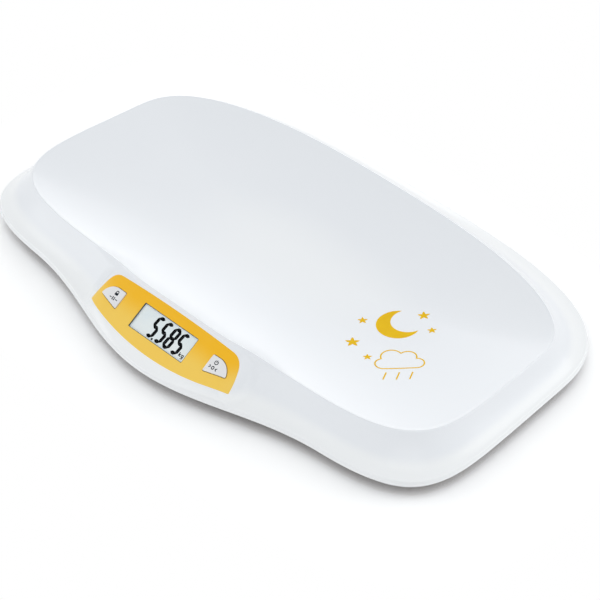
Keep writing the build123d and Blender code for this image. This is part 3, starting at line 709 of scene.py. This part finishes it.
# %% [markdown]
# ## The buttons
#
# Each button is a shield-shaped cap that stands a little proud of the overlay and follows the
# console's shoulder. It is made of rings, from the middle of its crown outwards, over a rounded
# edge, down the side and in again below. The marks on top are prints: a padlock holds the reading,
# and a ring with a bar switches the scale on and sets it to nought.

# %% Buttons
CROWN_PROUD, CROWN_RISE, CROWN_ROUND, BUTTON_BOTTOM = 0.95, 0.35, 0.4, -4.8
CROWN_U, CROWN_V, CROWN_WIDE, CROWN_DEEP = 65.0, 1.5, 13, 10
CAP_RINGS, CAP_TURNS, CAP_INSET, SIDE_TOP = 12, 6, 0.9, -1.0


def crown(place):
    """Height of a button's top: a shallow dome, highest in the middle of the shield."""
    u, v = np.abs(place[..., 0]), place[..., 1]
    aside, up = (u - CROWN_U) / CROWN_WIDE, (v - CROWN_V) / CROWN_DEEP
    return CROWN_PROUD + CROWN_RISE * (1 - aside**2 - up**2)


def cap(line):
    """Rings of a button: shrunk copies of its line, then its edge, side and underside."""
    hub = np.array([line[:, 0].mean(), line[:, 1].mean()])
    rows = []
    for shrink in np.linspace(0, 1, CAP_RINGS)[:-1]:
        place = hub + shrink * (line - CAP_INSET * outward(line) - hub)
        rows.append(on_console(place, crown(place)))
    for turn in np.linspace(0, np.pi / 2, CAP_TURNS):
        inset = CROWN_ROUND * (1 - math.sin(turn))
        place = line - inset * outward(line)
        rows.append(on_console(place, crown(place) - CROWN_ROUND * (1 - math.cos(turn))))
    for shrink, height in ((1, SIDE_TOP), (1, BUTTON_BOTTOM), (0.5, BUTTON_BOTTOM), (0, BUTTON_BOTTOM)):
        place = hub + shrink * (line - hub)
        rows.append(on_console(place, np.full(len(place), height)))
    return np.array(rows)


for name, line in shields.items():
    rings, button = cap(line), name + "_button"
    faces = [ring_faces(len(rings), len(line))]
    piece(name + "_cap", rings.reshape(-1, 3), faces, button, "button_white", [button])


def on_crown(place, height):
    """Places on a button's domed top."""
    return on_console(place, crown(place) + height)


def circle(centre_u, centre_v, radius, start=0.0, end=360.0, count=40):
    """Part of a circle, from one angle in degrees to another."""
    angle = np.radians(np.linspace(start, end, count))
    return np.stack([centre_u + radius * np.cos(angle), centre_v + radius * np.sin(angle)], -1)


MARK_LINE, MARK_LIFT, ICON_V, ROW_V = 0.75, 0.03, 4.6, -0.6
LOCK_U, POWER_U = -62.0, 62.4


def mark(stroke, centre, width=MARK_LINE):
    """A printed stroke through a few places (u, v) about a centre."""
    path = evenly_along(np.array(stroke) + centre, STROKE_PLACES)
    return ribbon(path, width, on_crown, MARK_LIFT)


# Hold: a closed padlock, and below it two upright bars between two dashes.
lock, lock_row = np.array([LOCK_U, ICON_V]), np.array([LOCK_U, ROW_V])
lock_body = np.stack([np.linspace(lock + (-1.8, v), lock + (1.8, v), 8) for v in (0.4, -1.9)])
lock_parts = [
    plate(lock_body, on_crown, MARK_LIFT),
    ribbon(circle(*(lock + (0, 0.9)), 1.2, -20, 200), MARK_LINE, on_crown, MARK_LIFT),
    mark([(-0.9, -1.5), (-0.9, 1.5)], lock_row, 1.0),
    mark([(0.9, -1.5), (0.9, 1.5)], lock_row, 1.0),
    mark([(-4.6, 0), (-2.4, 0)], lock_row),
    mark([(2.4, 0), (4.6, 0)], lock_row),
]
lock_mark = piece("hold_mark", *join(lock_parts), "hold_button")

# Tare: a switch sign, and below it a nought between two arrowheads that point at it.
power, power_row = np.array([POWER_U, ICON_V]), np.array([POWER_U, ROW_V])
power_parts = [
    ribbon(circle(*power, 1.7, 125, 415), MARK_LINE, on_crown, MARK_LIFT),
    mark([(0, 0.2), (0, 2.3)], power),
    ribbon(circle(*power_row, 1.25), MARK_LINE, on_crown, MARK_LIFT),
    mark([(-4.4, 1.2), (-2.8, 0), (-4.4, -1.2)], power_row),
    mark([(4.4, 1.2), (2.8, 0), (4.4, -1.2)], power_row),
]
power_mark = piece("tare_mark", *join(power_parts), "tare_button")

# %% [markdown]
# ## The print in the dish
#
# A pad-printed motif in one golden ink lies on the tray's right half, here a crescent moon, a rain
# cloud and some stars. Ink has almost no thickness, and an image texture would need a picture, so
# the print is made of plates a twentieth of a millimetre thick that follow the dish. The dish's
# height at any place comes from its level lines: the share whose line passes through the place.


# %% Print
HALVINGS, INK_LIFT, INK_LINE = 26, 0.05, 1.3
STAR_LOW, STAR_SWING, STAR_POINT = 0.42, 0.58, 1.35
MOON_REACH, MOON_HOLLOW = 2.2, 0.3


def dish_height(place):
    """Height of the dish at (x, y): halve the interval of shares until its level line fits."""
    low, high = np.zeros(place.shape[:-1]), np.ones(place.shape[:-1])
    for _ in range(HALVINGS):
        share = (low + high) / 2
        half, split = CREST[0] * share, DISH_Y + (CREST[1] - DISH_Y) * share
        over = place[..., 1] - split
        depth = np.where(over < 0, CREST[2], CREST[3]) * share
        power = 2 + (np.where(over < 0, CREST[4], CREST[5]) - 2) * share**2
        wide = half * (1 - TAPER * over)
        outside = (np.abs(place[..., 0]) / wide) ** power + (np.abs(over) / depth) ** power > 1
        low, high = np.where(outside, share, low), np.where(outside, high, share)
    return DISH_FLOOR + (RIM_Z - DISH_FLOOR) * low**DISH_POWER


def on_dish(place, height):
    """Places of the plan laid on the dish."""
    return np.concatenate([place, (dish_height(place) + height)[..., None]], -1)


PRINT_CENTRE, PRINT_TURN = np.array([140.0, -10.0]), math.radians(45.7)
print_axes = np.array(
    [[math.cos(PRINT_TURN), math.sin(PRINT_TURN)], [-math.sin(PRINT_TURN), math.cos(PRINT_TURN)]]
)


def on_print(place, height):
    """Places of the motif, x to its right and y up it, turned with the print and laid on the dish."""
    return on_dish(PRINT_CENTRE + place @ print_axes, height)


def star(x, y, size):
    """A five-pointed star with soft points: its radius swings five times between two lengths."""
    angle = np.linspace(0, 2 * np.pi, 60, endpoint=False)
    swing = np.abs(((angle * 5 / (2 * np.pi)) % 1) * 2 - 1)
    radius = size * (STAR_LOW + STAR_SWING * swing**STAR_POINT)
    line = np.stack([np.sin(angle), np.cos(angle)], -1) * radius[:, None]
    shrink = np.linspace(1, 0, 5)[:, None, None]
    return plate(np.array([x, y]) + shrink * line, on_print, INK_LIFT, wrap=True)


def crescent(x, y, size, turn):
    """A moon: a sheet between an outer arc and half an ellipse that bulges less, from horn to horn."""
    t = np.linspace(-1, 1, 80)
    outer = np.stack([np.cos(MOON_REACH * t), np.sin(MOON_REACH * t)], -1) * size
    horn_x, horn_y = outer[-1]
    hollow = horn_x + (MOON_HOLLOW * size - horn_x) * np.sqrt(1 - t**2)
    inner = np.stack([hollow, horn_y * t], -1)
    share = np.linspace(1, 0, 6)[:, None, None]
    spin = np.array([[math.cos(turn), math.sin(turn)], [-math.sin(turn), math.cos(turn)]])
    return plate((inner + share * (outer - inner)) @ spin + np.array([x, y]), on_print, INK_LIFT)


def drawn(path, count):
    """An inked line along a few places of the motif."""
    return ribbon(evenly_along(path, count), INK_LINE, on_print, INK_LIFT)


# The cloud's outline, clockwise: half its flat base, four rounds and the other half.
cloud = np.vstack(
    [
        [(2.0, -33.5), (-8.0, -33.5)],
        circle(-8.0, -26.5, 7.0, 270, 103, 30),
        circle(-1.0, -17.0, 9.0, 197, 27, 30),
        circle(12.5, -18.0, 7.5, 137, -19.5, 30),
        circle(19.5, -27.0, 6.5, 89.5, -90, 30),
        [(2.0, -33.5)],
    ]
)
print_parts = [
    crescent(6.0, 27.0, 19.0, math.radians(-155)),
    star(28.0, 38.0, 5.6),
    star(34.0, 17.0, 4.2),
    star(-24.0, 34.0, 4.6),
    star(-33.0, 4.0, 6.6),
    star(-21.0, -17.0, 4.2),
    drawn(cloud, 260),
]
for drop in (-6.0, 5.0, 16.0):
    print_parts.append(drawn([(drop, -39.0), (drop - 3.0, -49.0)], 8))
dish_print = piece("dish_print", *join(print_parts), "housing")

# %% [markdown]
# ## The feet
#
# Each corner stands on a round cup that slides on its load cell, with a rubber pad in its sole.
# Turned parts are a profile carried round an axis. The profiles have the small radii and the
# anti-slip grooves that show when the scale is turned over.

# %% Feet
FEET = {
    "front_left": (-198, -78),
    "front_right": (198, -78),
    "back_left": (-180, 98),
    "back_right": (180, 98),
}
TURNED_COLUMNS = 96


def turned(profile, x, y):
    """A profile of (radius, height) pairs carried round an upright axis at (x, y)."""
    profile = np.array(profile, float)
    angle = np.linspace(0, 2 * np.pi, TURNED_COLUMNS, endpoint=False)
    radius, height = profile[:, :1], np.repeat(profile[:, 1:], TURNED_COLUMNS, 1)
    rows = [x + radius * np.cos(angle), y + radius * np.sin(angle), height]
    return np.stack(rows, -1).reshape(-1, 3), [ring_faces(len(profile), TURNED_COLUMNS)]


def fillet_run(radius, height, size, start, end, count=6):
    """Points of a small round between two angles in degrees, about its own centre."""
    angle = np.radians(np.linspace(start, end, count))
    return [(radius + size * math.cos(a), height + size * math.sin(a)) for a in angle]


cup_profile = [(0, 14.7), (4.6, 14.7), (5.0, 14.4), (5.0, 13.2), (23.2, 13.2), (23.5, 12.9)]
cup_profile += [(23.5, 12.0), (23.2, 11.7), (21.0, 11.7), (21.0, 11.5)]
cup_profile += fillet_run(19.5, 3.5, 1.5, 0, -90) + fillet_run(17.5, 2.3, 0.3, -90, -180, 4)
cup_profile += [(17.1, 3.5), (0, 3.5)]
pad_profile = [(0, 3.45), (16.9, 3.45)] + fillet_run(16.15, 0.8, 0.8, 0, -90)
for groove in (13.6, 10.2, 6.8, 3.4):
    pad_profile += [(groove + 0.5, 0), (groove + 0.35, 0.5), (groove - 0.35, 0.5), (groove - 0.5, 0)]
pad_profile += [(0, 0)]
for corner, (x, y) in FEET.items():
    for kind, profile, slot in (("cup", cup_profile, "foot_grey"), ("pad", pad_profile, "pad_rubber")):
        piece(
            f"{kind}_{corner}",
            *turned(profile, x, y),
            f"foot_{corner}",
            slot,
            [f"foot_{kind}_{corner}"],
            35,
        )


# %% [markdown]
# ## Writing materials as sums
#
# A material is a graph of nodes, and most of the nodes only do arithmetic. One small class holds a
# socket and turns Python's + - * into Math nodes, so a finish reads like the formula it is.


# %% Shader arithmetic
class Wire:
    """A socket of a material's graph that can be added, multiplied and passed on."""

    def __init__(self, tree, socket=None):
        self.tree, self.socket = tree, socket

    def add(self, kind, settings=None, values=None, output=0):
        """Any node: its type, its settings first, then the values or wires of its inputs."""
        node = self.tree.nodes.new(kind)
        for key, value in (settings or {}).items():
            setattr(node, key, value)
        for key, value in (values or {}).items():
            if isinstance(value, Wire):
                self.tree.links.new(value.socket, node.inputs[key])
            else:
                node.inputs[key].default_value = value
        return Wire(self.tree, node.outputs[output])

    def _sum(self, operation, a, b):
        return self.add("ShaderNodeMath", {"operation": operation}, {0: a, 1: b})

    def __add__(self, other):
        return self._sum("ADD", self, other)

    def __sub__(self, other):
        return self._sum("SUBTRACT", self, other)

    def __rsub__(self, other):
        return self._sum("SUBTRACT", other, self)

    def __mul__(self, other):
        return self._sum("MULTIPLY", self, other)

    __radd__, __rmul__ = __add__, __mul__

    def clipped(self, low, high):
        """0 at low, 1 at high, held there beyond."""
        settings = {"data_type": "FLOAT", "clamp": True, "interpolation_type": "SMOOTHSTEP"}
        return self.add("ShaderNodeMapRange", settings, {0: self, 1: low, 2: high, 3: 0.0, 4: 1.0})

    def tint(self, first, second):
        """The first colour where this is 0, the second where it is 1."""
        settings = {"data_type": "RGBA"}
        return self.add("ShaderNodeMix", settings, {0: self, 6: first, 7: second}, output=2)

    def between(self, first, second):
        """The first shader where this is 0, the second where it is 1."""
        return self.add("ShaderNodeMixShader", None, {0: self, 1: first, 2: second})

    def seen_straight(self):
        """1 for a ray from the camera, off a mirror or through a glass, and 0 for light on its way."""
        kinds = [self.add("ShaderNodeLightPath", output=number) for number in (0, 3, 6)]
        return self.add("ShaderNodeClamp", None, {0: kinds[0] + kinds[1] + kinds[2], 1: 0.0, 2: 1.0})

    def finish(self, kind, surface):
        """The graph's output node, with this surface."""
        self.tree.links.new(surface.socket, self.tree.nodes.new(kind).inputs["Surface"])


def grain(wires, scale, detail=3.0, rough=0.5):
    """Noise in the object's own coordinates, this many features to the metre."""
    place = wires.add("ShaderNodeTexCoord", output=3)
    values = {"Vector": place, "Scale": scale, "Detail": detail, "Roughness": rough}
    return wires.add("ShaderNodeTexNoise", {"noise_dimensions": "3D"}, values)


def colour(red, green, blue):
    """An sRGB colour of 0 to 255 as the linear light that a shader works with."""
    share = np.array([red, green, blue]) / 255
    linear = np.where(share > 0.04045, ((share + 0.055) / 1.055) ** 2.4, share / 12.92)
    return (*map(float, linear), 1.0)


# The last share weighs the painted light and shade by height against the clouds.
CLOUD_EDGES, CLOUD_SHARE, PAINTED_LIGHT_SHARE = (0.35, 0.65), 0.08, 0.92
GLOSS_FINER, GLOSS_DETAIL, RELIEF_DETAIL = 2.7, 5.0, 2.0


def material(name, base, second, clouds, rough, swing, grain_scale, grain_depth, fade=None, **fixed):
    """A moulded or printed finish: two close colours, a swing of gloss and a fine bumpy grain.

    The colours mix in soft clouds or, given fade, from one height of the object to another:
    painted light and shade by height.
    """
    made = bpy.data.materials.new(name)
    made.use_nodes = True
    tree = made.node_tree
    shader = tree.nodes["Principled BSDF"]
    wires = Wire(tree)
    cloud_tone_and_painted_light = grain(wires, clouds).clipped(*CLOUD_EDGES)
    # Given two heights, the colour follows the object's height: painted light and shade.
    if fade:
        place = wires.add("ShaderNodeTexCoord", output=3)
        height = wires.add("ShaderNodeSeparateXYZ", None, {0: place}, 2)
        cloud_tone_and_painted_light = PAINTED_LIGHT_SHARE * height.clipped(*fade) + CLOUD_SHARE * cloud_tone_and_painted_light
    tint = cloud_tone_and_painted_light.tint(colour(*base), colour(*second))
    tree.links.new(tint.socket, shader.inputs["Base Color"])
    gloss = rough + swing * (grain(wires, clouds * GLOSS_FINER, GLOSS_DETAIL) - 0.5)
    tree.links.new(gloss.socket, shader.inputs["Roughness"])
    if grain_depth:
        relief = grain(wires, grain_scale, RELIEF_DETAIL)
        bumps = {"Height": relief, "Distance": grain_depth * MM, "Strength": 1.0}
        bumpy = wires.add("ShaderNodeBump", None, bumps)
        tree.links.new(bumpy.socket, shader.inputs["Normal"])
    sockets = {socket.name.lower().replace(" ", "_"): socket for socket in shader.inputs}
    for key, value in fixed.items():
        sockets[key].default_value = value
    return made


# %% [markdown]
# ## Finishes
#
# The white shell is glossy ABS: nearly white, a touch cool, with the faint orange-peel that a
# polished mould leaves. Its colour runs by height, from nearly white low on the skirt to a shade
# darker in the dish: painted light and shade, standing in for light that falls brighter on the skirt
# than in the dish. The overlay is satin, paler low on its slope by a painted reflection, the buttons
# a greyer white, and the underside and the feet are plainer and rougher, as nobody polishes those
# moulds.

# %% Materials
# Heights in metres for the painted light and shade on the shell and the painted reflection on the
# overlay.
SHELL_PAINTED_LIGHT_HEIGHTS, PANEL_PAINTED_REFLECTION_HEIGHTS, METAL = (0.0235, 0.031), (0.0325, 0.0445), {"metallic": 1.0}
# Two colours, clouds to the metre, roughness, its swing, grain to the metre and its depth in mm.
FINISHES = {
    # The white shell's two colours are a lit and a shaded copy of one white: painted light low on the
    # skirt, painted shade in the dish.
    "white_shell": ((252, 254, 255), (243, 246, 250), 9, 0.26, 0.05, 420, 0.012),
    "white_base": ((236, 238, 241), (231, 233, 237), 14, 0.48, 0.08, 900, 0.03),
    # The overlay's paler lower colour is a painted reflection, run in by height.
    "orange_panel": ((255, 213, 94), (255, 193, 22), 30, 0.4, 0.05, 1100, 0.008),
    "button_white": ((240, 240, 241), (236, 237, 239), 60, 0.38, 0.06, 1400, 0.01),
    "display_glass": ((248, 255, 255), (241, 252, 255), 45, 0.3, 0.04, 2500, 0.0),
    # The dark ring round the window: painted shade for the shadow in its recess.
    "gasket_dark": ((66, 78, 80), (56, 68, 70), 200, 0.6, 0.08, 2500, 0.0),
    "digit_ink": ((4, 5, 6), (9, 11, 13), 200, 0.5, 0.05, 2500, 0.0),
    "mark_ink": ((22, 30, 40), (30, 38, 48), 300, 0.6, 0.05, 2500, 0.0),
    "golden_ink": ((243, 198, 4), (240, 192, 0), 60, 0.5, 0.08, 1500, 0.004),
    "bracket_white": ((222, 224, 226), (214, 216, 219), 30, 0.5, 0.1, 800, 0.03),
    "unit_button_grey": ((150, 154, 160), (142, 146, 152), 80, 0.45, 0.08, 1200, 0.02),
    "foot_grey": ((206, 208, 212), (198, 200, 205), 40, 0.5, 0.1, 900, 0.03),
    "pad_rubber": ((64, 66, 70), (54, 56, 60), 60, 0.8, 0.1, 1500, 0.05),
    # The keypad rubber has a grey of its own, kept dark so that the gaps round the buttons show painted
    # shade.
    "keypad_rubber": ((120, 122, 126), (110, 112, 116), 80, 0.7, 0.1, 1500, 0.04),
    "connector_rubber": ((200, 120, 150), (190, 110, 140), 80, 0.7, 0.1, 1500, 0.04),
    "board_green": ((30, 96, 52), (22, 82, 44), 160, 0.4, 0.1, 1800, 0.02),
    "chip_black": ((30, 31, 33), (38, 39, 41), 200, 0.55, 0.1, 2500, 0.02),
    "component_black": ((38, 36, 34), (52, 48, 44), 200, 0.5, 0.1, 2500, 0.02),
    "screw_steel": ((186, 188, 190), (170, 172, 175), 260, 0.34, 0.1, 3000, 0.01),
    "load_cell_steel": ((176, 178, 182), (160, 162, 167), 120, 0.4, 0.12, 1500, 0.02),
    "contact_nickel": ((206, 200, 188), (190, 184, 172), 200, 0.28, 0.1, 2500, 0.01),
    "socket_white": ((226, 224, 216), (218, 216, 208), 90, 0.5, 0.1, 1500, 0.02),
    "battery_wrap": ((60, 62, 68), (160, 120, 50), 18, 0.35, 0.1, 1500, 0.01),
    "white_frame": ((220, 222, 225), (212, 214, 218), 40, 0.5, 0.1, 1200, 0.02),
    "switch_board": ((34, 100, 60), (26, 88, 50), 160, 0.45, 0.1, 1800, 0.02),
    "lead_grey": ((120, 122, 126), (112, 114, 118), 90, 0.5, 0.1, 1800, 0.02),
    "clear_window": ((90, 100, 104), (80, 92, 97), 40, 0.05, 0.02, 2500, 0.0),
}
# What sets a finish apart: painted light and shade over two heights in metres, or a constant on the
# shader.
SPECIAL = {
    "white_shell": {"fade": SHELL_PAINTED_LIGHT_HEIGHTS, "coat_weight": 0.08, "specular_ior_level": 0.32},
    "orange_panel": {"fade": PANEL_PAINTED_REFLECTION_HEIGHTS, "specular_ior_level": 0.3},
    "digit_ink": {"specular_ior_level": 0.02},
    "mark_ink": {"specular_ior_level": 0.1},
    "golden_ink": {"specular_ior_level": 0.1},
    "screw_steel": METAL,
    "load_cell_steel": METAL,
    "contact_nickel": METAL,
    "clear_window": {"alpha": 0.02},
}
finishes = {name: material(name, *row, **SPECIAL.get(name, {})) for name, row in FINISHES.items()}

for made, finish in (
    (digits, "digit_ink"),
    (shade_ring, "gasket_dark"),
    (lock_mark, "mark_ink"),
    (power_mark, "mark_ink"),
    (dish_print, "golden_ink"),
):
    made.data.materials.append(finishes[finish])
subparts = frame["record"]["subparts"]
slot_of = {part["node"]: part["material_slot"] for part in subparts if "material_slot" in part}
print("slots in the record", sorted(set(slot_of.values())))
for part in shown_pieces():
    if not part.data.materials and "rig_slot" in part:
        part.data.materials.append(finishes[part["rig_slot"]])
for name, node in frame["nodes"].items():
    finish = finishes.get(slot_of.get(name), finishes["white_base"])
    for number in range(max(len(node.data.materials), 1)):
        if len(node.data.materials):
            node.data.materials[number] = finish
        else:
            node.data.materials.append(finish)

# %% [markdown]
# ## Floor, lamps and world
#
# The ground is plain white with a soft shadow. The floor's own colour gives that: it is white paint,
# and a ray from the camera, a mirror or a glass sees it brighter, so it reaches white in the open and
# still takes the shadow. Close under the skirt, where little light comes, an ambient occlusion node
# paints a warm dark shade into its colour on top of the real shadow, and well away from the object
# it glows plain white up to the horizon. From below it is see-through, so the underside can be
# looked at. Most of the light is an even white room. Four weak soft lamps, three low and one higher
# in front, shade the dish's far wall and the skirt.

# %% Floor and light
FLOOR_HALF, CONTACT_REACH, CONTACT_RAYS = 12000, 0.025, 8
# The third colour is a painted shade, mixed into the floor close under the object.
PAINT, SEEN_PAINT, PAINTED_CONTACT_SHADE = (0.85, 0.85, 0.85), (1.28, 1.28, 1.28), (0.46, 0.42, 0.4)
CONTACT_EDGES, GLOW_EDGES, TRAY_HALVES = (0.15, 0.62), (1.3, 3.2), (0.274, 0.172)
WHITE, ROOM_TINT, ROOM_LIGHT = (1, 1, 1, 1), (0.975, 0.99, 1.0, 1), 0.615
LAMP_SIZE, LAMP_DISTANCE = 1.1, 1.75
floor_points = FLOOR_HALF * np.array([(-1, -1, 0), (1, -1, 0), (1, 1, 0), (-1, 1, 0)])
floor_mesh = bpy.data.meshes.new("floor")
floor_mesh.from_pydata((floor_points * MM).tolist(), [], [(0, 1, 2, 3)])
floor = bpy.data.objects.new("floor", floor_mesh)
bpy.context.scene.collection.objects.link(floor)
paint = bpy.data.materials.new("floor_paint")
paint.use_nodes = True
paint.node_tree.nodes.clear()
wires = Wire(paint.node_tree)
matt, bright, painted_shade_bsdf = (
    wires.add("ShaderNodeBsdfDiffuse", None, {"Color": (*tone, 1)})
    for tone in (PAINT, SEEN_PAINT, PAINTED_CONTACT_SHADE)
)
contact = {"Distance": CONTACT_REACH}
# An ambient occlusion node paints shade into the floor's colour close under the object.
openness = wires.add("ShaderNodeAmbientOcclusion", {"samples": CONTACT_RAYS}, contact, 1)
with_painted_shade = openness.clipped(*CONTACT_EDGES).between(painted_shade_bsdf, bright)
place = wires.add("ShaderNodeTexCoord", output=3)
fourths = []
for axis, half in enumerate(TRAY_HALVES):
    share = wires.add("ShaderNodeSeparateXYZ", None, {0: place}, axis) * (1 / half)
    square = share * share
    fourths.append(square * square)
far = (fourths[0] + fourths[1]).clipped(*GLOW_EDGES)
glow = wires.add("ShaderNodeEmission", None, {"Color": WHITE, "Strength": 1.0})
open_side = wires.seen_straight().between(matt, far.between(with_painted_shade, glow))
nothing = wires.add("ShaderNodeBsdfTransparent")
turned_away = wires.add("ShaderNodeNewGeometry", output=6)
wires.finish("ShaderNodeOutputMaterial", turned_away.between(open_side, nothing))
floor_mesh.materials.append(paint)

world = bpy.data.worlds.new("studio")
bpy.context.scene.world = world
world.use_nodes = True
world.node_tree.nodes.clear()
sky = Wire(world.node_tree)
room = sky.add("ShaderNodeBackground", None, {"Color": ROOM_TINT, "Strength": ROOM_LIGHT})
paper = sky.add("ShaderNodeBackground", None, {"Color": WHITE, "Strength": 1.0})
sky.finish("ShaderNodeOutputWorld", sky.seen_straight().between(room, paper))


def softbox(name, bearing, height, power):
    """A square lamp that faces the object, from a bearing and a height in degrees, in watts."""
    data = bpy.data.lights.new(name, "AREA")
    data.shape, data.size, data.energy = "SQUARE", LAMP_SIZE, power
    lamp = bpy.data.objects.new(name, data)
    turn, climb = math.radians(bearing), math.radians(height)
    way = Vector((math.cos(turn) * math.cos(climb), math.sin(turn) * math.cos(climb), math.sin(climb)))
    lamp.location = LAMP_DISTANCE * way
    lamp.rotation_euler = (-way).to_track_quat("-Z", "Y").to_euler()
    bpy.context.scene.collection.objects.link(lamp)


softbox("back_right", 45, 18, 6.4)
softbox("back_left", 135, 18, 6.6)
softbox("front_left", 225, 18, 4.7)
softbox("front_right", 315, 48, 4.6)
bpy.context.scene.view_settings.view_transform = "Standard"
